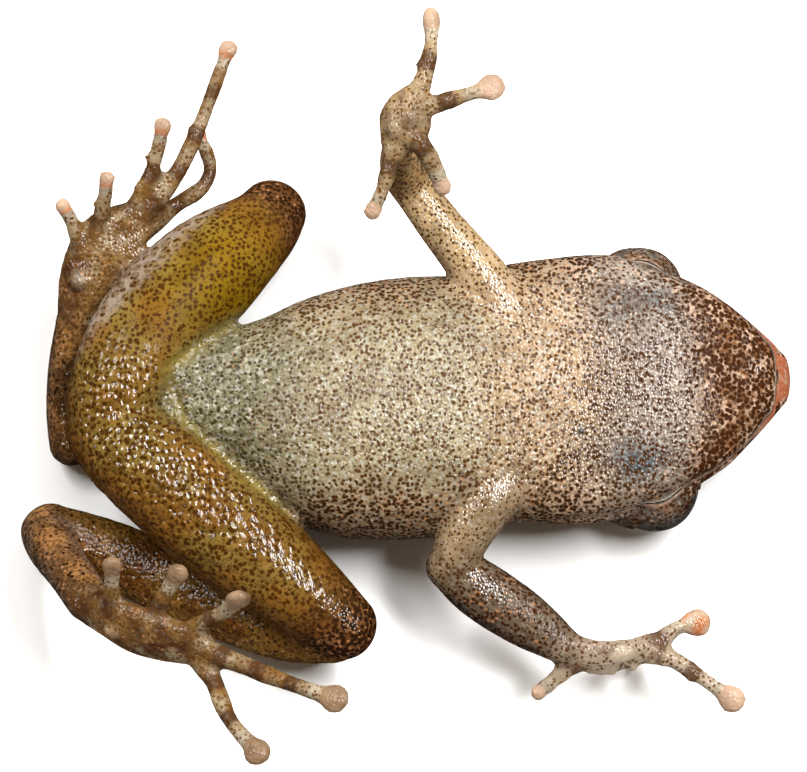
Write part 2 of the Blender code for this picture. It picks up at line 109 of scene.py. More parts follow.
# The head is turned a little, so what is on its right sits farther back.
HEAD_TURN = 0.23
EYE_X = 7.6
EYE_Y = 0.87
EYE_OUT = 3.43
EYE_Z = 1.95
EYE_RADIUS = 1.62
EYEBALL_RADIUS = 1.42
IRIS_DEPTH = 1.14
CORNEA_BULGE = 0.06
LID_RADIUS = 1.72
EYE_AXIS = (0.6, 1.0, -0.15)
LID_OPENING = 0.9
LID_SIZE = (2.05, 1.6, 1.5)
LID_X = 7.2
LID_OUT = 3.35
LID_Z = 1.7
# The skin of the lids closes in on the eye within this reach of its middle, and
# in the opening it lies this far below the eye's surface.
LID_REACH = 2.6
EYE_ROOM = 0.35
NOSTRIL = (11.95, 1.02, 2.0)
NOSTRIL_OUT = 1.02
EAR = (5.5, 0.68, 1.75)
EAR_OUT = 4.32

NOSTRIL_SWELL = 0.26
NOSTRIL_DEPTH = 0.14
EARDRUM_SIZE = (0.66, 0.26, 0.66)
EARDRUM_DEPTH = 0.1

# Folds of the skin below, seen from above as x and y, and their width and depths.
PECTORAL_FOLD = ((1.65, 3.6), (2.4, 2.2), (2.55, -0.8), (2.65, -1.85))
THROAT_FOLD = ((7.2, 2.6), (7.6, 1.4), (7.65, 0.2), (7.4, -1.2))
GROIN_FOLDS = (
    ((-9.2, 0.9), (-7.85, 1.95), (-6.2, 3.15)),
    ((-9.1, 0.6), (-8.55, -0.75), (-6.95, -2.35), (-5.0, -3.9)),
)
FOLD_WIDTH = 0.16
FOLDS = ((PECTORAL_FOLD, 0.1), (THROAT_FOLD, 0.04), *((line, 0.1) for line in GROIN_FOLDS))

# Limb forms: stations of x, y, z, half width, half depth, and the face that
# the half depth lies along.
LIMBS = {
    "upper_arm_right": (
        (
            (3.2, 2.6, 4.0, 1.4, 1.0),
            (2.4, 3.4, 4.4, 1.15, 1.0),
            (1.5, 4.7, 4.7, 0.93, 0.85),
            (0.3, 6.2, 4.9, 0.8, 0.78),
            (-0.75, 7.65, 5.0, 0.74, 0.74),
        ),
        UP,
    ),
    "forearm_right": (
        (
            (-0.75, 7.6, 5.0, 0.74, 0.74),
            (-1.0, 7.95, 6.3, 0.76, 0.76),
            (-1.1, 8.1, 7.6, 0.62, 0.6),
            (-1.1, 8.3, 8.8, 0.5, 0.45),
        ),
        (0.0, -1.0, 0.15),
    ),
    "upper_arm_left": (
        (
            (2.7, -2.6, 4.0, 1.3, 0.95),
            (2.1, -3.4, 4.3, 1.05, 0.95),
            (1.3, -4.6, 4.1, 0.9, 0.85),
            (0.66, -5.75, 3.5, 0.86, 0.82),
        ),
        UP,
    ),
    "forearm_left": (
        (
            (0.7, -5.75, 3.45, 0.84, 0.8),
            (1.75, -6.5, 3.2, 1.03, 0.95),
            (3.28, -7.5, 3.0, 0.98, 0.86),
            (4.7, -8.45, 2.85, 0.66, 0.58),
        ),
        UP,
    ),
    "hand_right": (
        (
            (-1.2, 8.0, 9.2, 0.6, 0.42),
            (-0.92, 8.6, 9.5, 0.93, 0.5),
            (-0.75, 9.2, 9.7, 0.8, 0.45),
            (-0.6, 9.5, 9.75, 0.55, 0.36),
        ),
        UP,
    ),
    "hand_left": (
        (
            (4.6, -8.48, 2.87, 0.6, 0.52),
            (5.8, -8.75, 2.75, 0.63, 0.43),
            (6.8, -8.66, 2.6, 0.61, 0.42),
            (7.5, -8.5, 2.5, 0.47, 0.37),
        ),
        (0.1, -0.8, 0.6),
    ),
    "thigh_right": (
        (
            (-11.3, -1.1, 4.2, 1.45, 1.35),
            (-10.75, 0.5, 4.4, 1.85, 1.55),
            (-9.7, 2.6, 4.35, 2.0, 1.6),
            (-7.7, 4.8, 3.9, 1.95, 1.5),
            (-6.1, 6.35, 3.0, 1.45, 1.3),
            (-5.55, 7.16, 2.5, 1.22, 1.1),
        ),
        UP,
    ),
    "thigh_left": (
        (
            (-11.3, -0.75, 4.2, 1.6, 1.35),
            (-10.3, -1.75, 4.4, 1.85, 1.55),
            (-9.1, -2.75, 4.4, 1.98, 1.6),
            (-7.05, -4.55, 4.1, 1.95, 1.6),
            (-4.4, -6.7, 3.6, 1.55, 1.45),
            (-3.0, -7.8, 3.25, 1.22, 1.2),
        ),
        UP,
    ),
    "shank_right": (
        (
            (-5.75, 6.9, 1.5, 0.95, 1.1),
            (-7.2, 5.3, 1.2, 1.15, 1.15),
            (-9.4, 2.9, 1.1, 1.2, 1.15),
            (-11.4, 0.6, 1.0, 1.0, 1.05),
            (-12.45, -0.75, 0.95, 0.85, 0.95),
        ),
        UP,
    ),
    "shank_left": (
        (
            (-3.3, -7.98, 2.5, 1.0, 1.05),
            (-5.3, -7.6, 1.9, 1.15, 1.15),
            (-8.2, -6.3, 1.5, 1.28, 1.25),
            (-11.2, -4.9, 1.25, 1.15, 1.25),
            (-13.0, -4.1, 1.15, 0.9, 1.15),
        ),
        UP,
    ),
    "tarsus_right": (
        (
            (-12.65, -1.0, 1.0, 0.82, 0.95),
            (-12.75, 0.2, 1.4, 0.82, 0.8),
            (-12.7, 1.7, 2.0, 0.78, 0.72),
            (-12.4, 3.3, 2.8, 0.75, 0.62),
        ),
        UP,
    ),
    "tarsus_left": (
        (
            (-13.5, -3.95, 1.3, 0.82, 1.0),
            (-13.3, -4.8, 2.3, 0.88, 0.85),
            (-12.5, -6.0, 3.6, 0.85, 0.75),
            (-11.75, -7.2, 4.7, 0.88, 0.66),
        ),
        (0.5, -0.3, 0.8),
    ),
    "foot_right": (
        (
            (-12.4, 3.3, 2.85, 0.75, 0.58),
            (-12.0, 4.6, 3.5, 1.05, 0.48),
            (-11.4, 5.6, 3.9, 1.2, 0.42),
            (-10.7, 6.2, 4.0, 1.0, 0.36),
            (-9.8, 6.85, 3.95, 0.55, 0.3),
        ),
        UP,
    ),
    "foot_left": (
        (
            (-11.75, -7.25, 4.7, 0.88, 0.62),
            (-10.6, -8.05, 5.65, 1.02, 0.55),
            (-9.3, -8.58, 6.1, 0.97, 0.52),
            (-8.0, -8.95, 6.4, 0.78, 0.45),
        ),
        (0.25, -0.72, 0.65),
    ),
}

# Digits: path to the middle of the disc, half width at the base and before the
# disc, the disc's half width and half depth, and the way its flat faces.
DIGITS = {
    "finger_right_1": (
        ((-1.2, 8.1, 9.4), (-1.4, 7.3, 9.2), (-1.66, 6.45, 8.95), (-2.0, 5.75, 8.7)),
        0.34, 0.24, 0.33, 0.24, UP,
    ),
    "finger_right_2": (
        ((-0.75, 8.35, 9.6), (-0.3, 7.85, 9.6), (0.1, 7.25, 9.2), (0.42, 6.6, 8.75)),
        0.38, 0.31, 0.35, 0.26, UP,
    ),
    "finger_right_3": (
        ((-0.7, 9.1, 9.7), (0.1, 9.2, 10.0), (1.1, 9.5, 10.1), (2.12, 9.83, 10.05)),
        0.4, 0.24, 0.5, 0.24, UP,
    ),
    "finger_right_4": (
        ((-0.5, 9.5, 9.75), (-0.18, 10.35, 9.9), (0.0, 11.3, 9.9), (0.03, 12.33, 9.65)),
        0.36, 0.23, 0.46, 0.31, (1.0, 0.0, 0.25),
    ),
    "finger_left_1": (
        ((5.4, -8.85, 2.65), (4.75, -9.2, 2.55), (4.2, -9.65, 2.45), (3.75, -10.0, 2.4)),
        0.34, 0.26, 0.3, 0.24, UP,
    ),
    "finger_left_2": (
        ((6.3, -8.6, 2.45), (6.35, -8.5, 1.7), (6.6, -8.45, 1.05), (7.05, -8.4, 0.62)),
        0.34, 0.24, 0.36, 0.24, UP,
    ),
    "finger_left_3": (
        ((7.3, -8.45, 2.5), (8.4, -8.8, 2.45), (9.5, -9.5, 2.4), (10.55, -10.25, 2.4)),
        0.36, 0.24, 0.5, 0.28, (0.3, -0.4, 0.85),
    ),
    "finger_left_4": (
        ((7.25, -8.4, 2.5), (8.05, -8.1, 2.4), (8.7, -7.65, 2.3), (9.38, -7.5, 2.25)),
        0.36, 0.24, 0.52, 0.25, UP,
    ),
    "toe_right_1": (
        ((-12.1, 5.2, 3.8), (-12.4, 6.0, 4.1), (-12.62, 6.5, 4.35), (-12.88, 6.92, 4.55)),
        0.33, 0.25, 0.31, 0.24, UP,
    ),
    "toe_right_2": (
        ((-11.75, 5.7, 3.95), (-11.52, 6.6, 4.4), (-11.38, 7.2, 4.8), (-11.31, 7.78, 5.1)),
        0.33, 0.25, 0.31, 0.24, UP,
    ),
    "toe_right_3": (
        ((-11.1, 6.05, 4.05), (-10.15, 7.3, 4.4), (-9.64, 8.46, 4.8), (-9.37, 9.67, 5.15)),
        0.34, 0.24, 0.34, 0.24, UP,
    ),
    "toe_right_4": (
        ((-10.5, 6.25, 4.1), (-9.18, 7.65, 4.35), (-8.18, 9.5, 4.75), (-7.08, 12.44, 5.15)),
        0.35, 0.24, 0.36, 0.25, UP,
    ),
    "toe_right_5": (
        ((-10.2, 6.0, 3.7), (-9.05, 7.08, 3.55), (-8.03, 7.8, 3.55), (-7.75, 8.6, 3.6), (-8.2, 9.75, 3.7)),
        0.34, 0.24, 0.33, 0.24, UP,
    ),
    "toe_left_1": (
        ((-10.9, -7.8, 5.7), (-10.92, -7.2, 6.4), (-10.9, -6.7, 6.95), (-10.87, -6.3, 7.4)),
        0.34, 0.26, 0.38, 0.26, (0.0, -0.7, 0.7),
    ),
    "toe_left_2": (
        ((-9.6, -8.2, 6.1), (-9.3, -7.6, 6.7), (-8.95, -7.1, 7.3), (-8.6, -6.65, 7.9)),
        0.34, 0.26, 0.4, 0.26, (0.0, -0.7, 0.7),
    ),
    "toe_left_3": (
        ((-8.5, -8.6, 6.3), (-7.9, -8.3, 7.0), (-7.1, -8.05, 7.9), (-6.5, -7.7, 8.9)),
        0.34, 0.26, 0.46, 0.27, (0.3, -0.7, 0.7),
    ),
    "toe_left_4": (
        ((-8.0, -8.95, 6.4), (-6.7, -9.55, 6.9), (-4.9, -10.4, 7.9), (-3.2, -11.1, 8.75)),
        0.38, 0.26, 0.52, 0.28, UP,
    ),
    "toe_left_5": (
        ((-8.2, -9.1, 6.1), (-7.45, -10.1, 6.5), (-6.85, -11.55, 7.1), (-5.85, -12.8, 7.8)),
        0.36, 0.26, 0.5, 0.28, UP,
    ),
}

# How much a digit swells at a joint, and the stations of its disc: how far back
# from the middle, how wide and how deep, as shares of the disc's own sizes.
KNUCKLE = 0.035
DISC_STATIONS = ((0.95, 0.62, 0.9), (0.6, 0.88, 1.0), (0.2, 1.0, 1.0), (0.0, 1.0, 1.0))

# Pads under the joints of the digits: digit, share of the way along, side.
JOINT_PADS = (
    ("finger_right_3", 0.42, (0.0, 0.0, 1.0)),
    ("finger_right_4", 0.45, (-1.0, 0.0, 0.3)),
    ("finger_right_1", 0.45, (-0.5, 0.0, 1.0)),
    ("finger_left_3", 0.28, (-0.3, -0.9, 0.3)),
    ("finger_left_3", 0.52, (-0.3, -0.9, 0.3)),
    ("finger_left_4", 0.45, (0.2, -0.9, 0.4)),
    ("toe_right_2", 0.5, (-0.8, 0.0, 0.6)),
    ("toe_right_3", 0.35, (-0.8, 0.3, 0.6)),
    ("toe_right_3", 0.62, (-0.8, 0.3, 0.6)),
    ("toe_right_4", 0.36, (-0.8, 0.3, 0.6)),
    ("toe_right_4", 0.62, (-0.8, 0.3, 0.6)),
    ("toe_right_4", 0.2, (-0.8, 0.3, 0.6)),
    ("toe_left_4", 0.45, (0.0, -0.8, 0.6)),
    ("toe_left_5", 0.45, (-0.8, 0.0, 0.6)),
)

# Each of those pads is two balls: how far out from the bone, and the radius.
PAD_BALLS = ((0.2, 0.19), (0.33, 0.13))

# Pads of the palms and soles: middle and half sizes.
PALM_PADS = (
    ((-1.25, 8.55, 9.85), (0.3, 0.42, 0.25)),
    ((-0.55, 8.75, 9.98), (0.36, 0.32, 0.25)),
    ((6.61, -8.67, 2.98), (0.46, 0.32, 0.24)),
    ((4.95, -8.75, 2.9), (0.32, 0.3, 0.24)),
    ((5.6, -9.18, 2.5), (0.21, 0.2, 0.2)),
    ((5.95, -9.25, 2.48), (0.2, 0.2, 0.2)),
    ((6.3, -9.24, 2.45), (0.21, 0.19, 0.2)),
    ((7.05, -9.08, 2.4), (0.2, 0.19, 0.19)),
    ((7.75, -8.9, 2.45), (0.19, 0.19, 0.19)),
    ((-10.9, -8.35, 5.9), (0.35, 0.25, 0.25)),
    ((-12.35, 4.4, 3.95), (0.28, 0.38, 0.22)),
)


def linear(code):
    """A hex colour as the light values that Blender works in."""
    parts = [int(code[i : i + 2], 16) / 255 for i in (1, 3, 5)]
    return [c / 12.92 if c <= 0.04045 else ((c + 0.055) / 1.055) ** 2.4 for c in parts]


# Forms of the body


def along(rows, steps):
    """Points on a smooth curve through the rows, with every column carried."""
    padded = [rows[0], *rows, rows[-1]]
    found = []
    for i in range(1, len(padded) - 2):
        before, start, end, after = padded[i - 1 : i + 3]
        for k in range(steps):
            t = k / steps
            found.append(
                tuple(
                    0.5
                    * (
                        2 * b
                        + (c - a) * t
                        + (2 * a - 5 * b + 4 * c - d) * t * t
                        + (3 * b - a - 3 * c + d) * t * t * t
                    )
                    for a, b, c, d in zip(before, start, end, after)
                )
            )
    found.append(tuple(rows[-1]))
    return found


def add_rings(body, rings, first, last):
    """Adds a closed form to the bmesh through rings of points."""
    levels = [[body.verts.new(p) for p in ring] for ring in rings]
    for low, high in zip(levels, levels[1:]):
        for i in range(len(low)):
            j = (i + 1) % len(low)
            body.faces.new((low[i], low[j], high[j], high[i]))
    ends = (body.verts.new(first), body.verts.new(last))
    for i in range(len(levels[0])):
        j = (i + 1) % len(levels[0])
        body.faces.new((levels[0][j], levels[0][i], ends[0]))
        body.faces.new((levels[-1][i], levels[-1][j], ends[1]))


def add_limb(body, rows, face):
    """Adds a rounded limb through rows of x, y, z, half width, half depth."""
    points = [Vector(row[:3]) for row in rows]
    final = len(points) - 1
    ways = [(points[min(i + 1, final)] - points[max(i - 1, 0)]).normalized() for i in range(final + 1)]
    stations = [(points[i], ways[i], rows[i][3], rows[i][4], 1.0) for i in range(final + 1)]
    tips = []
    for end, sign in ((0, -1), (final, 1)):
        reach = ROOT_REACH * min(rows[end][3:5]) if end == 0 else TIP_REACH * rows[end][3]
        for angle in ROUNDING:
            middle = points[end] + sign * reach * math.sin(angle) * ways[end]
            cap = (middle, ways[end], rows[end][3], rows[end][4], math.cos(angle))
            stations = [cap] + stations if sign < 0 else stations + [cap]
        tips.append(points[end] + sign * reach * ways[end])
    rings = []
    for middle, way, wide, deep, share in stations:
        side = Vector(face).cross(way).normalized()
        normal = way.cross(side).normalized()
        ring = []
        for k in range(LIMB_SIDES):
            turn = 2 * math.pi * k / LIMB_SIDES
            across = side * wide * math.cos(turn) + normal * deep * math.sin(turn)
            ring.append(middle + across * share)
        rings.append(ring)
    add_rings(body, rings, *tips)


def add_ball(body, middle, size):
    """Adds an egg shape with its half sizes along the axes."""
    rings = []
    for i in range(1, EGG_ROWS):
        turn = math.pi * i / EGG_ROWS
        ring = []
        for k in range(LIMB_SIDES):
            way = 2 * math.pi * k / LIMB_SIDES
            x = size[0] * math.sin(turn) * math.cos(way)
            y = size[1] * math.sin(turn) * math.sin(way)
            ring.append(Vector(middle) + Vector((x, y, -size[2] * math.cos(turn))))
        rings.append(ring)
    low = Vector(middle) - Vector((0, 0, size[2]))
    add_rings(body, rings, low, Vector(middle) + Vector((0, 0, size[2])))


def with_tip(rows, tip):
    """The sections, then ever smaller ones that round off toward the tip."""
    x, y, wide_z, half, top, bottom = rows[-1]
    rounded = []
    for share in (0.2, 0.4, 0.6, 0.8, 0.92, 0.98):
        squeeze = math.sqrt(1.0 - share * share)
        level = wide_z + (tip[2] - wide_z) * share
        rounded.append(
            (
                x + (tip[0] - x) * share,
                y + (tip[1] - y) * share,
                level,
                half * squeeze,
                level + (top - wide_z) * squeeze,
                level - (wide_z - bottom) * squeeze,
            )
        )
    return rows + rounded


def add_sections(body, form):
    """Adds the trunk, skull or jaw through its cross sections along X."""
    rows, first, last, fullness, taper = form
    rings = []
    for x, y, wide_z, half, top, bottom in rows:
        ring = []
        for k in range(SECTION_SIDES):
            turn = 2 * math.pi * k / SECTION_SIDES
            across, rise = math.cos(turn), math.sin(turn)
            out = math.copysign(abs(across) ** fullness, across)
            lift = math.copysign(abs(rise) ** fullness, rise)
            reach = top - wide_z if lift > 0 else wide_z - bottom
            narrow = 1.0 - (taper * abs(lift) ** 1.6 if lift < 0 else 0.0)
            ring.append(Vector((x, y + half * out * narrow, wide_z + reach * lift)))
        rings.append(ring)
    add_rings(body, rings, Vector(first), Vector(last))


def section_gap(places, form):
    """Distance of each point from the surface of the trunk, skull or jaw."""
    rows, first, last, fullness, taper = form
    table = np.array(rows)
    x = places[:, 0]
    middle, wide_z, half, top, low = (np.interp(x, table[:, 0], table[:, k]) for k in range(1, 6))
    across = np.abs(places[:, 1] - middle)
    lift = places[:, 2] - wide_z
    reach = np.where(lift > 0, top - wide_z, wide_z - low)
    rise = np.abs(lift) / reach
    narrow = 1.0 - np.where(lift < 0, taper * np.minimum(rise, 1.0) ** 1.6, 0.0)
    power = 2.0 / fullness
    ratio = ((across / (half * narrow)) ** power + rise**power) ** (1.0 / power)
    gap = np.hypot(across, lift) * (1.0 - 1.0 / np.maximum(ratio, 1e-3))
    return np.maximum(gap, np.maximum(x - last[0], first[0] - x))


def digit_rows(path, base, neck, disc, thick):
    """Stations of a digit: it narrows, swells at its joints, ends in a disc."""
    curve = along(path, 6)
    tip = Vector(curve[-1])
    way = (tip - Vector(curve[-2])).normalized()
    length = sum((Vector(a) - Vector(b)).length for a, b in zip(curve, curve[1:]))
    rows = []
    gone = 0.0
    for i, point in enumerate(curve[:-1]):
        if i:
            gone += (Vector(point) - Vector(curve[i - 1])).length
        if length - gone < disc * 1.1:
            break
        share = gone / length
        half = base + (neck - base) * min(1.0, share * 1.3)
        knuckle = KNUCKLE * math.sin(3 * math.pi * share) ** 4
        rows.append((*point, half + knuckle, half + knuckle))
    for back, wide, deep in DISC_STATIONS:
        place = tip - way * disc * back
        rows.append((*place, max(neck, disc * wide), thick * deep))
    return rows


# The sections of the body: rows, first and last point, squareness, back taper.
TRUNK_FORM = (along(TRUNK, 6), (-12.1, -0.05, 3.75), (5.9, 0.6, 3.0), 0.86, 0.1)
SKULL_FORM = (with_tip(along(SKULL, 6), SNOUT_TIP), (3.4, 0.45, 3.0), SNOUT_TIP, 0.86, 0.3)
JAW_FORM = (with_tip(along(JAW, 6), CHIN_TIP), (3.4, 0.45, 3.6), CHIN_TIP, 0.9, 0.0)

# Every limb and digit as dense rows, kept for painting the skin afterwards.
PATHS = {name: (along(rows, 8), face) for name, (rows, face) in LIMBS.items()}
for name, (path, base, neck, disc, thick, face) in DIGITS.items():
    PATHS[name] = (digit_rows(path, base, neck, disc, thick), face)


def eye_centre(side):
    return np.array((EYE_X - side * HEAD_TURN, EYE_Y + side * EYE_OUT, EYE_Z))


def lid_centre(side):
    return np.array((LID_X - side * HEAD_TURN, EYE_Y + side * LID_OUT, LID_Z))


def ear_place(side, out=0.0):
    """The middle of an eardrum, or a place this far out from it."""
    return np.array((EAR[0] - side * HEAD_TURN, EAR[1] + side * (EAR_OUT + out), EAR[2]))


def eye_axis(side):
    """The way that an eye looks, of length one."""
    axis = np.array((EYE_AXIS[0], side * EYE_AXIS[1], EYE_AXIS[2]))
    return axis / np.linalg.norm(axis)


def rough_body():
    """All forms of the flesh as closed shells that overlap, in millimetres."""
    body = bmesh.new()
    for form in (TRUNK_FORM, SKULL_FORM, JAW_FORM):
        add_sections(body, form)
    for rows, face in PATHS.values():
        add_limb(body, rows, face)
    for side in (1, -1):
        add_ball(body, eye_centre(side), [LID_RADIUS] * 3)
        add_ball(body, lid_centre(side), LID_SIZE)
        nostril = (NOSTRIL[0], NOSTRIL[1] + side * NOSTRIL_OUT, NOSTRIL[2])
        add_ball(body, nostril, [NOSTRIL_SWELL] * 3)
        add_ball(body, ear_place(side), EARDRUM_SIZE)
    for middle, size in PALM_PADS:
        add_ball(body, middle, size)
    for digit, share, side in JOINT_PADS:
        for out, radius in PAD_BALLS:
            add_ball(body, pad_place(digit, share, side, out), [radius] * 3)
    mesh = bpy.data.meshes.new("rough_body")
    body.to_mesh(mesh)
    body.free()
    return mesh


def pad_place(digit, share, side, out):
    """The middle of a pad, this far out from the bone of its digit."""
    rows = PATHS[digit][0]
    row = rows[round(share * (len(rows) - 1))]
    return Vector(row[:3]) + Vector(side).normalized() * out


def fused(mesh):
    """Fuses the shells to one surface and rounds off its steps."""
    holder = bpy.data.objects.new("skin", mesh)
    bpy.context.scene.collection.objects.link(holder)
    fuse = holder.modifiers.new("fuse", "REMESH")
    fuse.mode = "VOXEL"
    fuse.voxel_size = VOXEL
    ease = holder.modifiers.new("ease", "SMOOTH")
    ease.factor = 0.5
    ease.iterations = 3
    bpy.context.view_layer.update()
    graph = bpy.context.evaluated_depsgraph_get()
    made = bpy.data.meshes.new_from_object(holder.evaluated_get(graph))
    holder.modifiers.clear()
    holder.data = made
    made.name = "skin"
    bpy.data.meshes.remove(mesh)
    return holder


def vertex_values(mesh):
    """The places and normals of the mesh's points, one row each."""
    places = np.empty(len(mesh.vertices) * 3, np.float32)
    mesh.vertices.foreach_get("co", places)
    normals = np.empty(len(mesh.vertices) * 3, np.float32)
    mesh.vertices.foreach_get("normal", normals)
    return places.reshape(-1, 3).astype(np.float64), normals.reshape(-1, 3).astype(np.float64)


def step(low, high, value):
    """0 below low, 1 above high, and smooth between; low may be the larger."""
    t = np.clip((value - low) / (high - low), 0.0, 1.0)
    return t * t * (3.0 - 2.0 * t)


def hump(middle, width, value):
    """1 at the middle, falling to nothing over about twice the width."""
    return np.exp(-(((value - middle) / width) ** 2))


def field(places, size, seed):
    """Smooth noise from -1 to 1 with features of this size in millimetres."""
    shift = Vector((seed * 17.3, seed * 5.1, seed * 9.7))
    return np.array([noise.noise(Vector(p) / size + shift) for p in places])


def line_gap(places, points):
    """Distance from a line drawn through points in the plane seen from above."""
    best = np.full(len(places), 1e9)
    for start, end in zip(points, points[1:]):
        start, line = np.array(start), np.array(end) - np.array(start)
        t = np.clip(((places[:, :2] - start) @ line) / (line @ line), 0, 1)
        best = np.minimum(best, np.linalg.norm(places[:, :2] - start - t[:, None] * line, axis=1))
    return best


def shape_details(places, normals):
    """Moves the skin at the eyes, nostrils, ears and folds."""
    for side in (1, -1):
        centre, axis = eye_centre(side), eye_axis(side)
        away = places - centre
        far = np.linalg.norm(away, axis=1)
        facing = np.arccos(np.clip(away @ axis / np.maximum(far, 1e-6), -1, 1))
        near = (far < LID_REACH) & (facing < LID_OPENING + 0.5)
        inside = step(LID_OPENING + 0.08, LID_OPENING - 0.08, facing)
        outside = np.maximum(facing - LID_OPENING, 0.0)
        reach = LID_RADIUS + 1.3 * outside + (EYE_RADIUS - EYE_ROOM - LID_RADIUS) * inside
        # The lips and the jaw beside the eye keep their place.
        reach = reach + 1.5 * step(0.55, 1.0, places[:, 2] - EYE_Z)
        pulled = centre + away / far[:, None] * np.minimum(far, reach)[:, None]
        places[near] = pulled[near]
        hole = nostril_hole(side)
        close = hump(0, 0.13, np.linalg.norm(places - hole, axis=1))
        places -= normals * (NOSTRIL_DEPTH * close)[:, None]
        drum = ear_drum(places, side) * (side * normals[:, 1] > 0.3)
        places -= normals * (EARDRUM_DEPTH * drum)[:, None]
    above = step(3.6, 4.2, places[:, 2])
    for points, deep in FOLDS:
        fold = hump(0, FOLD_WIDTH, line_gap(places, points))
        places -= normals * (deep * fold * above)[:, None]
    return places


def nostril_hole(side):
    """The middle of a nostril's opening."""
    return np.array((NOSTRIL[0] + 0.12, NOSTRIL[1] + side * (NOSTRIL_OUT + 0.16), NOSTRIL[2] - 0.1))


def ear_drum(places, side):
    """1 on the eardrum and 0 off it."""
    away = (places - ear_place(side, 0.2)) * (1, 0.5, 1)
    return step(0.5, 0.4, np.linalg.norm(away, axis=1))


def path_distance(places, rows):
    """Distance from the surface of a limb, and the share of the way along."""
    centres = np.array([row[:3] for row in rows])
    radii = np.array([0.5 * (row[3] + row[4]) for row in rows])
    steps = np.linalg.norm(np.diff(centres, axis=0), axis=1)
    shares = np.concatenate([[0.0], np.cumsum(steps)]) / steps.sum()
    best = np.full(len(places), 1e9)
    share = np.zeros(len(places))
    for j in range(len(rows) - 1):
        line = centres[j + 1] - centres[j]
        t = np.clip(((places - centres[j]) @ line) / max(line @ line, 1e-9), 0, 1)
        near = centres[j] + t[:, None] * line
        gap = np.linalg.norm(places - near, axis=1) - (radii[j] + t * (radii[j + 1] - radii[j]))
        closer = gap < best
        best[closer] = gap[closer]
        share[closer] = (shares[j] + t * (shares[j + 1] - shares[j]))[closer]
    return best, share


def body_distance(places):
    """Distance from the surface of the trunk and head."""
    gap = section_gap(places, TRUNK_FORM)
    for form in (SKULL_FORM, JAW_FORM):
        gap = np.minimum(gap, section_gap(places, form))
    for side in (1, -1):
        gap = np.minimum(gap, np.linalg.norm(places - eye_centre(side), axis=1) - LID_RADIUS)
        lid = (places - lid_centre(side)) / LID_SIZE
        gap = np.minimum(gap, (np.linalg.norm(lid, axis=1) - 1.0) * min(LID_SIZE))
    return gap


# Colours of the skin as the bright light of the studio shows them.
TONES = {
    "belly": "#c8b890",
    "belly_green": "#9c9670",
    "flank": "#ccaa86",
    "chest": "#e4bf94",
    "throat": "#a68a6e",
    "throat_blue": "#5c6a72",
    "throat_pale": "#d8c8b8",
    "chin": "#ac7040",
    "back": "#98785a",
    "back_dark": "#4c3826",
    "lid": "#6a5e54",
    "copper": "#b47c50",
    "groin": "#a39a55",
    "groin_line": "#a89038",
    "thigh": "#a67430",
    "thigh_olive": "#a49048",
    "thigh_dark": "#84541a",
    "thigh_low": "#7a4a16",
    "thigh_yellow": "#a27c08",
    "thigh_rim_and_sheen": "#b8a08a",
    "knee": "#84502a",
    "shank": "#845018",
    "shank_amber": "#d29c48",
    "sky_reflection": "#9aa2bc",
    "tarsus": "#cc9050",
    "tarsus_grey": "#7c7068",
    "foot": "#a0763e",
    "arm": "#ffd8a0",
    "arm_grey": "#806c58",
    "arm_dark": "#4c4034",
    "red": "#c0603f",
    "hand": "#ceac7c",
    "hand_pale": "#dcc4aa",
    "pad": "#ecd6b8",
    "pale": "#dfcba4",
    "band": "#643e22",
    "ring": "#efe2c6",
    "disc_cream": "#f6ceac",
    "disc_orange": "#f09a64",
    "disc_dull": "#c09c78",
    "dot": "#6c4620",
    "dot_green": "#4a4226",
    "dot_ochre": "#5a3608",
    "dot_chin": "#4f2a0e",
    "dot_foot": "#7c5228",
    "dot_dark": "#38200c",
}
# The photograph's light is this much stronger than one that shows white as white.
LIGHT_GAIN = 2.85
TONES = {name: np.array(linear(code)) / LIGHT_GAIN for name, code in TONES.items()}

# The layers that the skin's points carry to its material, three values each.
PAINTED_LAYERS = ("tone", "dots", "amount", "relief", "pattern")

# Each part's paint fades into its neighbours' over about this much.
PART_BLEND = 0.12

# Where the belly side's colours start and where they are full, along X.
PELVIS = (-3.0, -7.0)
CHEST = (0.5, 3.6)
THROAT = (4.0, 5.6)
THROAT_SHADE = (4.8, 6.8)
CHIN = (8.4, 10.2)

# The middle of the body and half the jaw's width, as x and y.
MIDDLE_LINE = ((-11, -4, 1, 5, 12), (0.2, -0.25, 0.05, 0.6, 1.05))
JAW_EDGE = ((4, 7, 9.6, 11.3, 12.3), (4.6, 4.4, 3.3, 2.0, 0.6))

# The bluish patches beside the throat, as x and the way off the middle, and the
# x of its glittering middle, where a pale tone is painted for the glints.
BLUE_PATCH = (7.2, 2.7)
PAINTED_GLITTER_X = 8.1

# Two wet places on the chin, a small dark mark on the chest, and a painted bluish
# reflection of the sky on the left shank beside the heel, as x and y.
CHIN_SPARKS = ((11.44, 1.33), (11.14, 2.64))
MARK = (5.24, -1.2)
HEEL_SKY_REFLECTION = (-12.91, -4.05)

# A point on the line that the right thigh's outer edge is measured from, and how
# level the skin is where each thigh's lower tone starts and where it is full.
THIGH_EDGE = (-9.2, 3.6)
THIGH_TURN = {"right": (0.85, 0.2), "left": (0.95, 0.3)}

# Waves of the dark bars along a whole thigh or shank, and along a millimetre of
# a digit, in radians.
THIGH_BARS = 22.0
SHANK_BARS = 20.0
DIGIT_BANDS = 4.2

# Relief that the skin's mesh itself has, in millimetres: lumps on the granular
# parts, and low warts on the back.
LUMP_HEIGHT = 0.03
WART_HEIGHT = 0.05

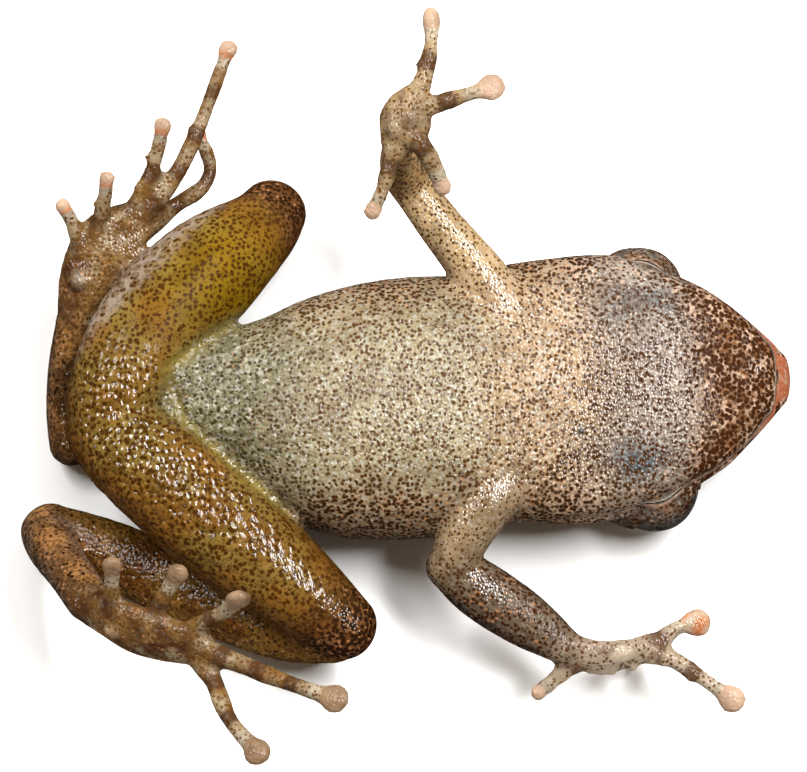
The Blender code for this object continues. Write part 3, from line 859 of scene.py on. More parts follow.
# How many cells of each pattern lie in a millimetre: granules are 0.34 mm apart,
# the dots 0.16 mm on the belly and 0.18 mm on the legs, the grain 0.13 mm.
GRANULES = 2.9
GRAIN = 7.8
CREAM_GRANULES = 4.3
CLOUDS = 0.9
COPPER_FLECKS = 4.7
FLECK_GROUPS = 1.7
BELLY_DOTS = 6.2
LEG_DOTS = 5.5
FINE_DOTS = 9.0
LIP_MOTTLE = 4.0
IRIS_VEINS = 4.2
WANDER = 5.2

# Height of the granules and of the grain, and how far the dots wander, in
# millimetres.
GRANULE_HEIGHT = 0.12
GRAIN_HEIGHT = 0.05
WANDER_REACH = 0.11


def mix(a, b, share):
    """Blends two colours, each one value or one for each point."""
    a, b = np.atleast_2d(a), np.atleast_2d(b)
    return a + (b - a) * share[:, None]


class Skin:
    """The points of the skin, what they are near, and what is painted so far."""

    def __init__(self, places, normals):
        self.places = places
        self.x, self.y, self.z = places.T
        self.up = normals[:, 2]
        self.broad = field(places, 2.2, 8)
        self.wide = field(places, 1.6, 1)
        self.blotchy = field(places, 0.7, 9)
        self.fine = field(places, 0.55, 2)
        # Skin that faces down is drier, or it would mirror the white floor.
        self.dry = 0.25 + 0.75 * step(-0.2, 0.45, self.up)
        self.gaps, self.gone = {}, {}
        for name, (rows, face) in PATHS.items():
            self.gaps[name], self.gone[name] = path_distance(places, rows)
        self.gaps["body"] = body_distance(places)
        stack = np.array(list(self.gaps.values()))
        weights = np.exp(-(stack - stack.min(axis=0)) / PART_BLEND)
        weights /= weights.sum(axis=0)
        self.share_of = dict(zip(self.gaps, weights))
        self.layers = {name: np.zeros((len(places), 3)) for name in PAINTED_LAYERS}

    def lay(
        self, name, tone, dots, spots, flecks, granules, grain, wet,
        cream=0.0, coarse=0.0, rim_sheen=0.0, peach=0.0,
    ):
        """Paints one part, and fades it toward its neighbours: the colours of the
        skin and of its dots, the amount of dots and flecks, the relief of granules
        and grain, the wetness, then the amount of cream granules, of coarser dots,
        of pale rims round granules, which are partly painted sheen, and of peach in the flecks."""
        trios = {
            "amount": (spots, flecks, cream),
            "relief": (granules, grain, wet),
            "pattern": (coarse, rim_sheen, peach),
        }
        weight = self.share_of[name][:, None]
        self.layers["tone"] += weight * tone
        self.layers["dots"] += weight * dots
        for layer, trio in trios.items():
            columns = [np.broadcast_to(values, (len(self.places),)) for values in trio]
            self.layers[layer] += weight * np.stack(columns, axis=1)

    def tint(self, tone, share):
        """Lays one more tone over what is painted."""
        self.layers["tone"][:] = mix(self.layers["tone"], tone, share)

    def thin_out(self, column, share):
        """Takes dots (0), flecks (1) or cream (2) away."""
        self.layers["amount"][:, column] -= share


def barred_brown(share_gone, wave):
    """The brown of the upper side with darker bars across the limb."""
    return mix(TONES["back"], TONES["back_dark"], step(0.0, 0.35, np.sin(share_gone * wave)))


def paint_trunk_and_head(skin):
    """Pale below, darker on the flanks and chin, bluish beside the throat, brown
    with bars on the back, and painted glints on the throat's middle."""
    x, y, z, up, wide, fine = skin.x, skin.y, skin.z, skin.up, skin.wide, skin.fine
    middle = np.interp(x, *MIDDLE_LINE)
    off = np.abs(y - middle)
    pelvis = step(*PELVIS, x + wide)
    flank = step(2.4, 4.4, off + 0.5 * wide) * step(6.5, 4.5, x)
    throat = step(*THROAT, x + 0.4 * wide)
    blue = hump(BLUE_PATCH[0], 1.6, x) * hump(BLUE_PATCH[1], 0.9, off)
    chin = step(*CHIN, x + 0.6 * wide)
    jaw_edge = step(1.3, 0.5, np.interp(x, *JAW_EDGE) - off) * throat
    back = step(0.25, -0.25, up) * step(3.2, 2.4, z + 0.3 * fine)
    bars = step(0.05, 0.3, np.sin(x * 1.15 + 1.1 * off - 0.6) + 0.6 * wide)
    painted_glitter = hump(PAINTED_GLITTER_X, 1.3, x) * step(3.2, 1.6, off + 0.4 * wide) * (1 - back)

    colour = mix(TONES["belly"], TONES["chest"], step(*CHEST, x + 0.5 * wide))
    colour = mix(colour, TONES["belly_green"], pelvis)
    colour = mix(colour, TONES["flank"], 0.9 * flank)
    colour = mix(colour, mix(TONES["chest"], TONES["throat"], step(*THROAT_SHADE, x)), throat)
    colour = mix(colour, TONES["throat_blue"], np.clip(blue * (1 + wide), 0, 1))
    colour = mix(colour, TONES["chin"], 0.85 * chin)
    pale_edge = np.where(y > middle, 0.7, 0.35) * jaw_edge * (1 - chin)
    colour = mix(colour, TONES["throat_pale"], pale_edge)
    colour = mix(colour, mix(TONES["back"], TONES["back_dark"], 0.75 * bars), back)
    # A pale tone painted over the throat's middle for the glints of its wet skin.
    colour = mix(colour, TONES["throat_pale"], 0.7 * painted_glitter)

    dot = mix(TONES["dot"], TONES["dot_chin"], np.clip(0.5 * flank + 0.6 * throat + chin, 0, 1))
    dot = mix(dot, TONES["dot_green"], 0.7 * pelvis)
    dot = mix(dot, TONES["dot_dark"], np.clip(back + 0.5 * flank, 0, 1))
    spots = 0.43 + 0.08 * flank + 0.12 * chin + 0.06 * throat - 0.03 * jaw_edge * (1 - chin) + 0.08 * wide
    flecks = 0.3 + 0.5 * flank + 0.85 * chin + 0.2 * throat + 0.3 * jaw_edge
    cream = (0.65 - 0.4 * throat - 0.3 * flank) * (1 - back)
    wet = skin.dry * (1 - 0.97 * chin) * (0.5 + 0.45 * throat) * (1 - 0.75 * blue)
    for spot in CHIN_SPARKS:
        wet = wet + 0.9 * hump(0, 0.3, np.linalg.norm(skin.places[:, :2] - spot, axis=1)) * chin
    skin.lay(
        "body", colour, dot, spots, flecks * (1 - 0.6 * back), cream=cream, peach=throat, wet=wet,
        granules=0.3 + 0.4 * pelvis + 0.2 * flank - 0.25 * throat, grain=0.75 + 0.15 * throat,
    )


def paint_thigh(skin, side):
    """Ochre and olive, granular and wet at the rear, with a brown knee. The right
    one has a yellow middle, and a greyish outer edge with pale rims round its
    granules, partly its own colour and partly painted sheen."""
    x, y, up, wide, fine = skin.x, skin.y, skin.up, skin.wide, skin.fine
    name = "thigh_" + side
    gone = skin.gone[name]
    right = side == "right"
    colour = mix(TONES["thigh"], TONES["thigh_olive"], step(-0.5, 0.4, wide + 0.4 * fine) * 0.65)
    colour = mix(colour, TONES["thigh_dark"], step(-0.1, 0.6, skin.broad) * 0.5)
    low = step(*THIGH_TURN[side], up + 0.1 * wide)
    colour = mix(colour, TONES["thigh_low"], low * 0.75)
    coarse = 0.35 + 0.65 * step(0.75, 0.35, gone)
    if right:
        across = (x - THIGH_EDGE[0]) * 0.75 - (y - THIGH_EDGE[1]) * 0.66
        glow = hump(0.62, 0.2, gone) * step(-1.0, 0.2, across)
        colour = mix(colour, TONES["thigh_yellow"], 0.9 * glow)
        # The outer edge: a greyish tint and pale rims round its granules, partly the skin's own colour and
        # partly painted sheen.
        sheen_rim = step(-0.55, -1.3, across)
        colour = mix(colour, TONES["thigh_rim_and_sheen"], 0.5 * sheen_rim)
        coarse = np.maximum(sheen_rim, step(0.42, 0.2, gone))
    near_belly = hump(0, 0.4, np.maximum(skin.gaps["body"], 0)) * step(-10.8, -9.6, x)
    colour = mix(colour, TONES["groin"], 0.7 * near_belly)
    knee = step(0.8, 0.97, gone + 0.05 * fine)
    blotch = mix(TONES["knee"], TONES["copper"], 0.6 * step(0.15, 0.45, fine))
    colour = mix(colour, blotch, 0.85 * knee)
    colour = mix(colour, barred_brown(gone, THIGH_BARS), step(-0.1, -0.55, up))
    coarse = coarse * (1 - knee) * (1 - 0.7 * near_belly)
    dot = mix(TONES["dot_ochre"], TONES["dot_dark"], knee)
    spots = (0.45 if right else 0.48) + 0.06 * wide + 0.12 * knee
    wet = skin.dry * (0.5 + 0.2 * step(0.5, 0.2, gone))
    rim_sheen = 0.0
    if right:
        calm = step(0.16, 0.34, gone + 0.06 * fine) * step(-1.6, -1.0, across)
        wet = wet * (1.0 - 0.97 * np.maximum(calm, 0.6 * knee))
        rim_sheen = sheen_rim * (1 - knee)
        coarse = coarse * (1 - 0.7 * calm)
    skin.lay(
        name, colour, dot, spots, flecks=0.05 + 0.6 * knee,
        granules=coarse, grain=0.2 + 0.4 * knee, wet=wet, coarse=1.0 - knee, rim_sheen=rim_sheen,
    )


def paint_shank(skin, side):
    """Brown and amber, barred above. The left one has a lighter amber band, partly
    its own colour and partly painted light for a lit streak, and a painted bluish
    reflection of the sky beside the heel.
    """
    x, y, up = skin.x, skin.y, skin.up
    name = "shank_" + side
    gone = skin.gone[name]
    amber = step(-0.3, 0.6, skin.wide + 0.4 * skin.fine) * 0.7
    colour = mix(TONES["shank"], TONES["shank_amber"], amber)
    colour = mix(colour, barred_brown(gone, SHANK_BARS), step(0.0, -0.5, up))
    if side == "left":
        # A lighter amber band on the sloping side: partly the skin's own amber, partly painted light for a
        # lit streak.
        colour = mix(colour, TONES["shank_amber"], 0.5 * step(0.75, 0.25, up) * step(0.0, 0.2, up))
        # A painted bluish reflection of the sky beside the heel.
        ahead = x - HEEL_SKY_REFLECTION[0]
        painted_sky_reflection = hump(0, 0.55, np.hypot(ahead, 2.0 * (y - HEEL_SKY_REFLECTION[1] + 0.5 * ahead)))
        colour = mix(colour, TONES["sky_reflection"], 0.75 * painted_sky_reflection * step(0.2, 0.6, up))
    skin.lay(
        name, colour, TONES["dot_dark"],
        spots=0.43, flecks=0.6, granules=0.45, grain=0.9, wet=skin.dry, coarse=0.5,
    )


def paint_foot(skin, side):
    """Tarsus and sole: amber and brown, greyer at the edges, with pale blotches."""
    wide, fine = skin.wide, skin.fine
    colour = mix(TONES["tarsus"], TONES["back_dark"], 0.7 * step(-0.1, 0.4, wide + 0.5 * fine))
    colour = mix(colour, TONES["tarsus_grey"], 0.75 * step(0.85, 0.15, skin.up + 0.25 * fine))
    skin.lay(
        "tarsus_" + side, colour, TONES["dot_dark"],
        spots=0.46, flecks=0.7, granules=0.4, grain=0.5, wet=skin.dry, coarse=0.5,
    )
    colour = mix(TONES["foot"], TONES["band"], step(0.0, 0.5, wide + fine))
    colour = mix(colour, TONES["pale"], 0.6 * step(0.2, 0.5, skin.blotchy))
    skin.lay(
        "foot_" + side, colour, TONES["dot_foot"],
        spots=0.42, flecks=0.5, cream=0.1, granules=0.3, grain=0.6, wet=skin.dry * 0.6,
    )


def paint_arm(skin, side):
    """The right arm is tan with a red line, the left one greyer below."""
    x, y, up, wide, fine = skin.x, skin.y, skin.up, skin.wide, skin.fine
    gone = skin.gone["upper_arm_" + side]
    colour = mix(TONES["chest"], TONES["arm"], step(0.15, 0.5, gone))
    if side == "right":
        red = hump(3.6, 0.16, x + 0.72 * y) * step(4.5, 5.2, y)
        colour = mix(colour, TONES["red"], 0.55 * red)
    else:
        colour = mix(colour, TONES["arm_grey"], 0.6 + 0.3 * wide)
        colour = mix(colour, TONES["band"], 0.5 * step(0.6, 0.9, gone) * step(-0.2, 0.4, fine))
    skin.lay(
        "upper_arm_" + side, colour, TONES["dot"],
        spots=0.36, flecks=0.2, cream=0.3, granules=0.1, grain=0.5, wet=skin.dry,
    )

    if side == "right":
        colour = mix(TONES["arm"], TONES["shank_amber"], 0.45 + 0.5 * fine)
        dot = TONES["dot"]
    else:
        colour = mix(TONES["arm_grey"], TONES["arm_dark"], 0.8 * step(0.75, 0.3, up + 0.3 * fine))
        dot = TONES["dot_chin"]
    colour = mix(colour, TONES["back"], step(0.0, -0.6, up))
    wet = skin.dry * (0.35 + 0.65 * step(0.5, 0.3, skin.gone["forearm_" + side]))
    skin.lay(
        "forearm_" + side, colour, dot,
        spots=0.46, flecks=0.6, cream=0.1, granules=0.3, grain=0.6, wet=wet,
    )

    palm = TONES["hand" if side == "right" else "hand_pale"]
    colour = mix(palm, TONES["band"], 0.6 * step(0.1, 0.6, wide + fine))
    skin.lay(
        "hand_" + side, colour, TONES["dot_foot"],
        spots=0.4, flecks=0.1, cream=0.2, granules=0.2, grain=0.5, wet=skin.dry * 0.3,
    )


def disc_tone(skin, name, left, disc):
    """The colour of a digit's disc, where left is the way to the tip in mm."""
    if name == "finger_left_4":
        # Orange with cream mottles: partly the disc's own mottling and partly painted highlights.
        return mix(TONES["disc_orange"], TONES["ring"], step(-0.3, 0.4, skin.fine))
    if name.startswith("toe_left"):
        return mix(TONES["disc_dull"], TONES["band"], 0.5 * step(0.0, 0.5, skin.fine))
    if name.startswith("toe_right"):
        return mix(TONES["disc_cream"], TONES["disc_orange"], step(0.1 * disc, 0.7 * disc, left))
    return TONES["disc_cream"]


def paint_digit(skin, name, path, disc):
    """Brown bands, a pale ring, then the disc."""
    fine = skin.fine
    length = sum((Vector(a) - Vector(b)).length for a, b in zip(path, path[1:]))
    left = (1 - skin.gone[name]) * length
    grounds = {"finger_left": "hand_pale", "finger_right": "hand", "toe_left": "foot", "toe_right": "foot"}
    ground = TONES[grounds[name[:-2]]]
    bands = step(0.1, 0.5, np.sin(left * DIGIT_BANDS + 0.8) + 0.5 * fine)
    colour = mix(mix(ground, TONES["pale"], step(0.2, -0.4, fine) * 0.6), TONES["band"], 0.9 * bands)
    ring = step(disc * 2.3, disc * 1.9, left) * step(disc * 0.9, disc * 1.2, left)
    colour = mix(colour, TONES["ring"], 0.6 * ring)
    pad = step(disc * 1.15, disc * 0.85, left)
    colour = mix(colour, disc_tone(skin, name, left, disc), pad)
    colour = mix(colour, TONES["back"], 0.7 * step(-0.1, -0.6, skin.up) * (1 - pad))
    skin.lay(
        name, colour, TONES["dot_foot"],
        spots=0.38 * (1 - pad), flecks=0.15, cream=0.1, granules=0.1, grain=0.5, wet=skin.dry * 0.3,
    )


def paint_chest_mark(skin):
    """A small dark mark, smooth and free of dots."""
    away = np.linalg.norm(skin.places[:, :2] - MARK, axis=1)
    mark = step(0.2, 0.1, away) * step(3.5, 4.0, skin.z)
    skin.tint(0.1 * TONES["back_dark"], mark)
    for layer in ("dots", "amount", "relief"):
        skin.layers[layer] *= (1 - mark)[:, None]


def paint_groin_lines(skin):
    """The yellow line in each fold of the groin."""
    for line in GROIN_FOLDS:
        crease = hump(0, 0.26, line_gap(skin.places, line)) * step(4.0, 4.6, skin.z)
        skin.tint(TONES["groin_line"], 0.6 * crease)
        skin.thin_out(0, 0.2 * crease)


def paint_palm_pads(skin):
    """Pale tubercles on the left palm, fainter on the right one and the soles."""
    for middle, size in PALM_PADS:
        pad = step(1.2, 1.02, np.linalg.norm((skin.places - middle) / size, axis=1))
        if middle[0] < 0:
            pad = pad * 0.3
        skin.tint(TONES["pad"], 0.9 * pad)
        skin.thin_out(0, 0.4 * pad)


def paint_face(skin, side):
    """The grey lid with copper patches, painted shade in the nostril's opening, and the eardrum."""
    places, x, z = skin.places, skin.x, skin.z
    lid = np.linalg.norm((places - lid_centre(side)) / LID_SIZE, axis=1)
    lid = step(1.15, 1.0, lid) * step(3.2, 2.9, z)
    ball = step(LID_RADIUS + 0.2, LID_RADIUS, np.linalg.norm(places - eye_centre(side), axis=1))
    lid = np.maximum(lid, ball)
    copper = step(0.0, 0.4, skin.fine) * step(8.9, 8.1, x) * step(2.0, 2.4, z)
    skin.tint(mix(TONES["lid"], TONES["copper"], 0.8 * copper), 0.85 * lid)
    skin.thin_out(1, 0.3 * lid)
    # Painted shade in the nostril's opening.
    dark = hump(0, 0.12, np.linalg.norm(places - nostril_hole(side), axis=1))
    skin.tint(TONES["back_dark"], 0.9 * dark)
    skin.tint(TONES["tarsus"], 0.6 * ear_drum(places, side))


def paint(places, normals):
    """Paints every part of the skin, then the marks that lie over them."""
    skin = Skin(places, normals)
    paint_trunk_and_head(skin)
    for side in ("right", "left"):
        paint_thigh(skin, side)
    for side in ("right", "left"):
        paint_shank(skin, side)
        paint_foot(skin, side)
    for side in ("right", "left"):
        paint_arm(skin, side)
    for name, shape in DIGITS.items():
        paint_digit(skin, name, path=shape[0], disc=shape[3])
    paint_chest_mark(skin)
    paint_groin_lines(skin)
    paint_palm_pads(skin)
    for side in (1, -1):
        paint_face(skin, side)
    return skin


def mouth_lines(places, on_body):
    """How far each point lies above the jaw's line, its share of the head's skin,
    and how near it is to the snout's tip."""
    mouth = np.zeros((len(places), 3))
    jaw_gap = np.maximum(section_gap(places, JAW_FORM), 0)
    mouth[:, 0] = np.maximum(section_gap(places, SKULL_FORM), 0) - jaw_gap
    mouth[:, 1] = on_body * step(4.6, 5.2, places[:, 0])
    mouth[:, 2] = step(11.0, 12.1, places[:, 0])
    return mouth


def store(mesh, name, values):
    """Keeps three values for each point, where the material finds them."""
    layer = mesh.attributes.new(name, "FLOAT_COLOR", "POINT")
    full = np.ones((len(values), 4), np.float32)
    full[:, :3] = values
    layer.data.foreach_set("color", full.ravel())


def make_skin():
    """One skin over all of the flesh, shaped, painted and lightly warted."""
    skin = fused(rough_body())
    mesh = skin.data
    places, normals = vertex_values(mesh)
    places = shape_details(places, normals)
    painted = paint(places, normals)
    painted.layers["mouth"] = mouth_lines(places, painted.share_of["body"])
    back = (normals[:, 2] < -0.1) * (places[:, 0] > -11)
    warts = np.maximum(field(places, 0.8, 6), 0) ** 2
    rough = LUMP_HEIGHT * painted.layers["relief"][:, 0] * field(places, 0.34, 5) + WART_HEIGHT * back * warts
    places += normals * rough[:, None]
    places[:, 2] = np.maximum(places[:, 2], 0.0)
    for name, values in painted.layers.items():
        store(mesh, name, values)
    mesh.vertices.foreach_set("co", (places * MM).astype(np.float32).ravel())
    mesh.update()
    mesh.shade_smooth()
    return skin


# Materials


def add(tree, kind, inputs, out=0, **settings):
    """Adds a node with its settings, sets or links its inputs by number or name,
    and gives back one of its outputs."""
    node = tree.nodes.new("ShaderNode" + kind)
    for key, value in settings.items():
        setattr(node, key, value)
    for key, value in inputs.items():
        if isinstance(value, bpy.types.NodeSocket):
            tree.links.new(value, node.inputs[key])
        else:
            node.inputs[key].default_value = value
    return node.outputs[out]


def new_material(name):
    """A material of this name with no nodes yet, and its node tree."""
    made = bpy.data.materials.new(name)
    made.use_nodes = True
    made.node_tree.nodes.clear()
    return made, made.node_tree


def finish_surface(tree, inputs):
    """Ends a material with its shader, whose inputs are set or linked here."""
    surface = add(tree, "BsdfPrincipled", inputs)
    end = tree.nodes.new("ShaderNodeOutputMaterial")
    tree.links.new(surface, end.inputs["Surface"])


def hexed(code):
    """A hex colour as a node's input takes it."""
    return (*linear(code), 1.0)


def lit(code):
    """A hex colour as the studio's light shows it on the skin."""
    return (*[part / LIGHT_GAIN for part in linear(code)], 1.0)


def painted_trio(tree, name):
    """The three values of a layer that was painted on the skin."""
    layer = add(tree, "Attribute", {}, "Color", attribute_name=name)
    return add(tree, "SeparateColor", {0: layer}).node.outputs


def together(tree, *shares):
    """Several shares multiplied to one."""
    total = shares[0]
    for share in shares[1:]:
        total = add(tree, "Math", {0: total, 1: share}, operation="MULTIPLY")
    return total


def laid_over(tree, colour, tone, *shares):
    """A tone over the colour, as strong as the shares multiplied together."""
    inputs = {0: together(tree, *shares), 6: colour, 7: tone}
    return add(tree, "Mix", inputs, out=2, data_type="RGBA")


def speckles(tree, place, per_mm, soft, amount=0.0, gain=1.0, loose=1.0):
    """Dots, this many to a millimetre, wider where the amount is larger, and with
    edges that fade over the soft range."""
    inputs = {"Vector": place, "Scale": per_mm / MM, "Randomness": loose}
    gap = add(tree, "TexVoronoi", inputs, "Distance")
    gap = add(tree, "Math", {0: amount, 1: -gain, 2: gap}, operation="MULTIPLY_ADD")
    inputs = {0: gap, 1: soft[0], 2: soft[1], 3: 1.0, 4: 0.0}
    return add(tree, "MapRange", inputs, interpolation_type="SMOOTHSTEP")


def patches(tree, place, per_mm, detail, soft):
    """Loose patches, about this many to a millimetre."""
    inputs = {"Vector": place, "Scale": per_mm / MM, "Detail": detail}
    cloud = add(tree, "TexNoise", inputs, "Fac")
    inputs = {0: cloud, 1: soft[0], 2: soft[1], 3: 1.0, 4: 0.0}
    return add(tree, "MapRange", inputs, interpolation_type="SMOOTHSTEP")


def line_at(tree, value, middle, soft):
    """1 on the line where the value is at its middle, 0 away from it."""
    away = add(tree, "Math", {0: value, 1: middle}, operation="SUBTRACT")
    away = add(tree, "Math", {0: away}, operation="ABSOLUTE")
    inputs = {0: away, 1: soft[0], 2: soft[1], 3: 1.0, 4: 0.0}
    return add(tree, "MapRange", inputs, interpolation_type="SMOOTHSTEP")


def dotted_skin(tree, place, granule_gap):
    """The painted colour with its granules, flecks and dots."""
    tone, dot_tone = (add(tree, "Attribute", {}, "Color", attribute_name=name) for name in ("tone", "dots"))
    spots, flecks, cream = painted_trio(tree, "amount")
    coarse, rim_sheen, peach = painted_trio(tree, "pattern")

    # A little wander keeps the dots from being round.
    inputs = {"Vector": place, "Scale": WANDER / MM, "Detail": 2.0}
    wander = add(tree, "TexNoise", inputs, "Color")
    inputs = {0: wander, 1: (WANDER_REACH * MM,) * 3, 2: place}
    shifted = add(tree, "VectorMath", inputs, operation="MULTIPLY_ADD")

    # Pale granules, and clouds of darker skin.
    crown = speckles(tree, shifted, CREAM_GRANULES, (0.15, 0.55))
    colour = laid_over(tree, tone, lit("#f2efdc"), crown, cream)
    cloudy = together(tree, patches(tree, place, CLOUDS, 3.0, (0.36, 0.6)), 0.5)
    inputs = {0: cloudy, 6: colour, 7: hexed("#bcb6b1")}
    colour = add(tree, "Mix", inputs, out=2, data_type="RGBA", blend_type="MULTIPLY")

    # Copper flecks in loose groups.
    fleck = speckles(tree, shifted, COPPER_FLECKS, (-0.05, 0.1), flecks, 0.42)
    grouped = patches(tree, place, FLECK_GROUPS, 2.0, (0.45, 0.6))
    fleck_tone = laid_over(tree, lit("#d99a68"), lit("#f6cfae"), peach)
    colour = laid_over(tree, colour, fleck_tone, fleck, grouped, 0.9)

    # Brown dots, larger on the legs, and finer ones between.
    small = speckles(tree, shifted, BELLY_DOTS, (-0.14, 0.09), spots, loose=0.85)
    large = speckles(tree, shifted, LEG_DOTS, (-0.15, 0.09), spots, loose=0.85)
    colour = laid_over(tree, colour, dot_tone, add(tree, "Mix", {0: coarse, 2: small, 3: large}))
    fine = speckles(tree, place, FINE_DOTS, (-0.12, 0.1), spots, 0.75)
    fine_strength = add(tree, "Math", {0: coarse, 1: 0.3, 2: 0.35}, operation="MULTIPLY_ADD")
    colour = laid_over(tree, colour, dot_tone, fine, fine_strength)

    # Pale rims round the granules of the right thigh's outer edge: painted sheen.
    inputs = {0: granule_gap, 1: 0.46, 2: 0.62}
    rim_sheen_share = add(tree, "MapRange", inputs, interpolation_type="SMOOTHSTEP")
    return laid_over(tree, colour, lit("#d0bca8"), rim_sheen_share, rim_sheen, 0.7)


def skin_material():
    """Moist frog skin: thin, granular and wet, so each granule carries its own
    spark, with brown dots, cream granules and copper flecks in the skin."""
    made, tree = new_material("moist_granular_frog_skin")
    place = add(tree, "TexCoord", {}, "Object")
    granules, grain, wet = painted_trio(tree, "relief")
    lip, on_head, to_tip = painted_trio(tree, "mouth")
    inputs = {"Vector": place, "Scale": GRANULES / MM, "Randomness": 0.75}
    granule_gap = add(tree, "TexVoronoi", inputs, "Distance")
    inputs = {"Vector": place, "Scale": GRAIN / MM, "Randomness": 1.0}
    grain_gap = add(tree, "TexVoronoi", inputs, "Distance")
    colour = dotted_skin(tree, place, granule_gap)

    # The upper lip, mottled, deeper and orange at the snout, then a pale line painted
    # for the sheen of the jaw's wet rim, and the dark line of the mouth, painted shade in its groove.
    above = add(tree, "Math", {0: lip, 1: -1.0}, operation="MULTIPLY")
    depth = add(tree, "Math", {0: to_tip, 1: -0.45, 2: above}, operation="MULTIPLY_ADD")
    ranges = ({0: lip, 1: -0.05, 2: 0.0, 3: 1.0, 4: 0.0}, {0: depth, 1: 0.1, 2: 0.2, 3: 1.0, 4: 0.0})
    upper = [add(tree, "MapRange", inputs, interpolation_type="SMOOTHSTEP") for inputs in ranges]
    pale = laid_over(tree, lit("#d4b09a"), lit("#d07850"), to_tip)
    dark = laid_over(tree, lit("#6a4428"), lit("#d8a888"), to_tip)
    lip_tone = laid_over(tree, pale, dark, patches(tree, place, LIP_MOTTLE, 3.0, (0.36, 0.48)))
    colour = laid_over(tree, colour, lip_tone, *upper, on_head, 0.85)
    # A pale line painted for the sheen of the jaw's wet rim.
    sheen_rim = line_at(tree, lip, 0.1, (0.03, 0.07))
    colour = laid_over(tree, colour, lit("#e8dccc"), sheen_rim, on_head, 0.6)
    # Painted shade in the groove of the mouth.
    groove = line_at(tree, lip, 0.0, (0.015, 0.055))
    colour = laid_over(tree, colour, lit("#3a2818"), groove, on_head, 0.8)

    # Round tops of the granules with the groove of the mouth, then the grain.
    dome = together(tree, granule_gap, granule_gap, granules, -1.0)
    dip = together(tree, groove, on_head, -0.6)
    height = add(tree, "Math", {0: dome, 1: dip}, operation="ADD")
    bump = add(tree, "Bump", {"Strength": 1.0, "Distance": GRANULE_HEIGHT * MM, "Height": height})
    height = together(tree, grain_gap, grain_gap, grain, -1.0)
    inputs = {"Strength": 1.0, "Distance": GRAIN_HEIGHT * MM, "Height": height, "Normal": bump}
    bump = add(tree, "Bump", inputs)
    inputs = {
        "Base Color": colour,
        "Normal": bump,
        "Roughness": 0.55,
        "Specular IOR Level": 0.03,
        "IOR": 1.4,
        "Coat Normal": bump,
        "Coat Weight": together(tree, wet, 0.95),
        "Coat Roughness": 0.07,
        "Coat IOR": 1.5,
        "Subsurface Weight": 0.06,
        "Subsurface Radius": (1.0, 0.5, 0.25),
        "Subsurface Scale": 0.3 * MM,
    }
    finish_surface(tree, inputs)
    return made


def iris_material(side):
    """Eyeball behind the clear front: a dark bronze iris with fine gold veins
    round a level slit, and a smoky blue-grey edge."""
    made, tree = new_material("dark_bronze_iris_" + ("right" if side > 0 else "left"))
    place = add(tree, "TexCoord", {}, "Object")
    centre = Vector(eye_centre(side)) * MM
    axis = Vector(eye_axis(side))
    local = add(tree, "VectorMath", {0: place, 1: centre}, operation="SUBTRACT")

    def away_from_axis(way):
        """How far a point lies from the eye's axis this way, in millimetres."""
        found = add(tree, "VectorMath", {0: local, 1: way}, "Value", operation="DOT_PRODUCT")
        return add(tree, "Math", {0: together(tree, found, 1 / MM)}, operation="ABSOLUTE")

    across = axis.cross(Vector(UP)).normalized()
    level = away_from_axis(across)
    rise = away_from_axis(across.cross(axis).normalized())
    inputs = {0: together(tree, level, level), 1: together(tree, rise, rise)}
    radius = add(tree, "Math", {0: add(tree, "Math", inputs, operation="ADD")}, operation="SQRT")
    slit = add(tree, "Math", {0: rise, 1: 1.6, 2: together(tree, level, 0.62)}, operation="MULTIPLY_ADD")
    between = patches(tree, place, IRIS_VEINS, 6.0, (0.42, 0.62))
    colour = laid_over(tree, hexed("#54402c"), hexed("#15110e"), between)
    inputs = {0: radius, 1: 0.85, 2: 1.0, 3: 1.0, 4: 0.0}
    inside = add(tree, "MapRange", inputs, interpolation_type="SMOOTHSTEP")
    colour = laid_over(tree, hexed("#1e1e20"), colour, inside)
    inputs = {0: slit, 1: 0.42, 2: 0.46, 3: 1.0, 4: 0.0}
    pupil = add(tree, "MapRange", inputs, interpolation_type="SMOOTHSTEP")
    colour = laid_over(tree, colour, hexed("#0a0a0a"), pupil)
    finish_surface(tree, {"Base Color": colour, "Roughness": 0.3})
    return made


def cornea_material():
    """Clear wet front of the eye: smooth as water, which gives one sharp spark
    and the pale rim against the light."""
    made, tree = new_material("clear_wet_cornea")
    inputs = {
        "Base Color": hexed("#edf0f1"),
        "Roughness": 0.02,
        "IOR": 1.376,
        "Transmission Weight": 1.0,
        "Sheen Weight": 0.4,
        "Sheen Roughness": 0.15,
    }
    finish_surface(tree, inputs)
    return made


def board_material():
    """Matt white board, which goes nearly pure white under the lamps."""
    made, tree = new_material("matt_white_board")
    finish_surface(tree, {"Base Color": hexed("#eeeeed"), "Roughness": 0.7})
    return made


def ball_mesh(name, centre, reach):
    """A ball whose radius in each direction is what reach gives."""
    shape = bmesh.new()
    bmesh.ops.create_icosphere(shape, subdivisions=5, radius=1.0)
    for vert in shape.verts:
        way = vert.co.normalized()
        vert.co = (Vector(centre) + way * reach(way)) * MM
    mesh = bpy.data.meshes.new(name)
    shape.to_mesh(mesh)
    shape.free()
    mesh.shade_smooth()
    made = bpy.data.objects.new(name, mesh)
    bpy.context.scene.collection.objects.link(made)
    return made


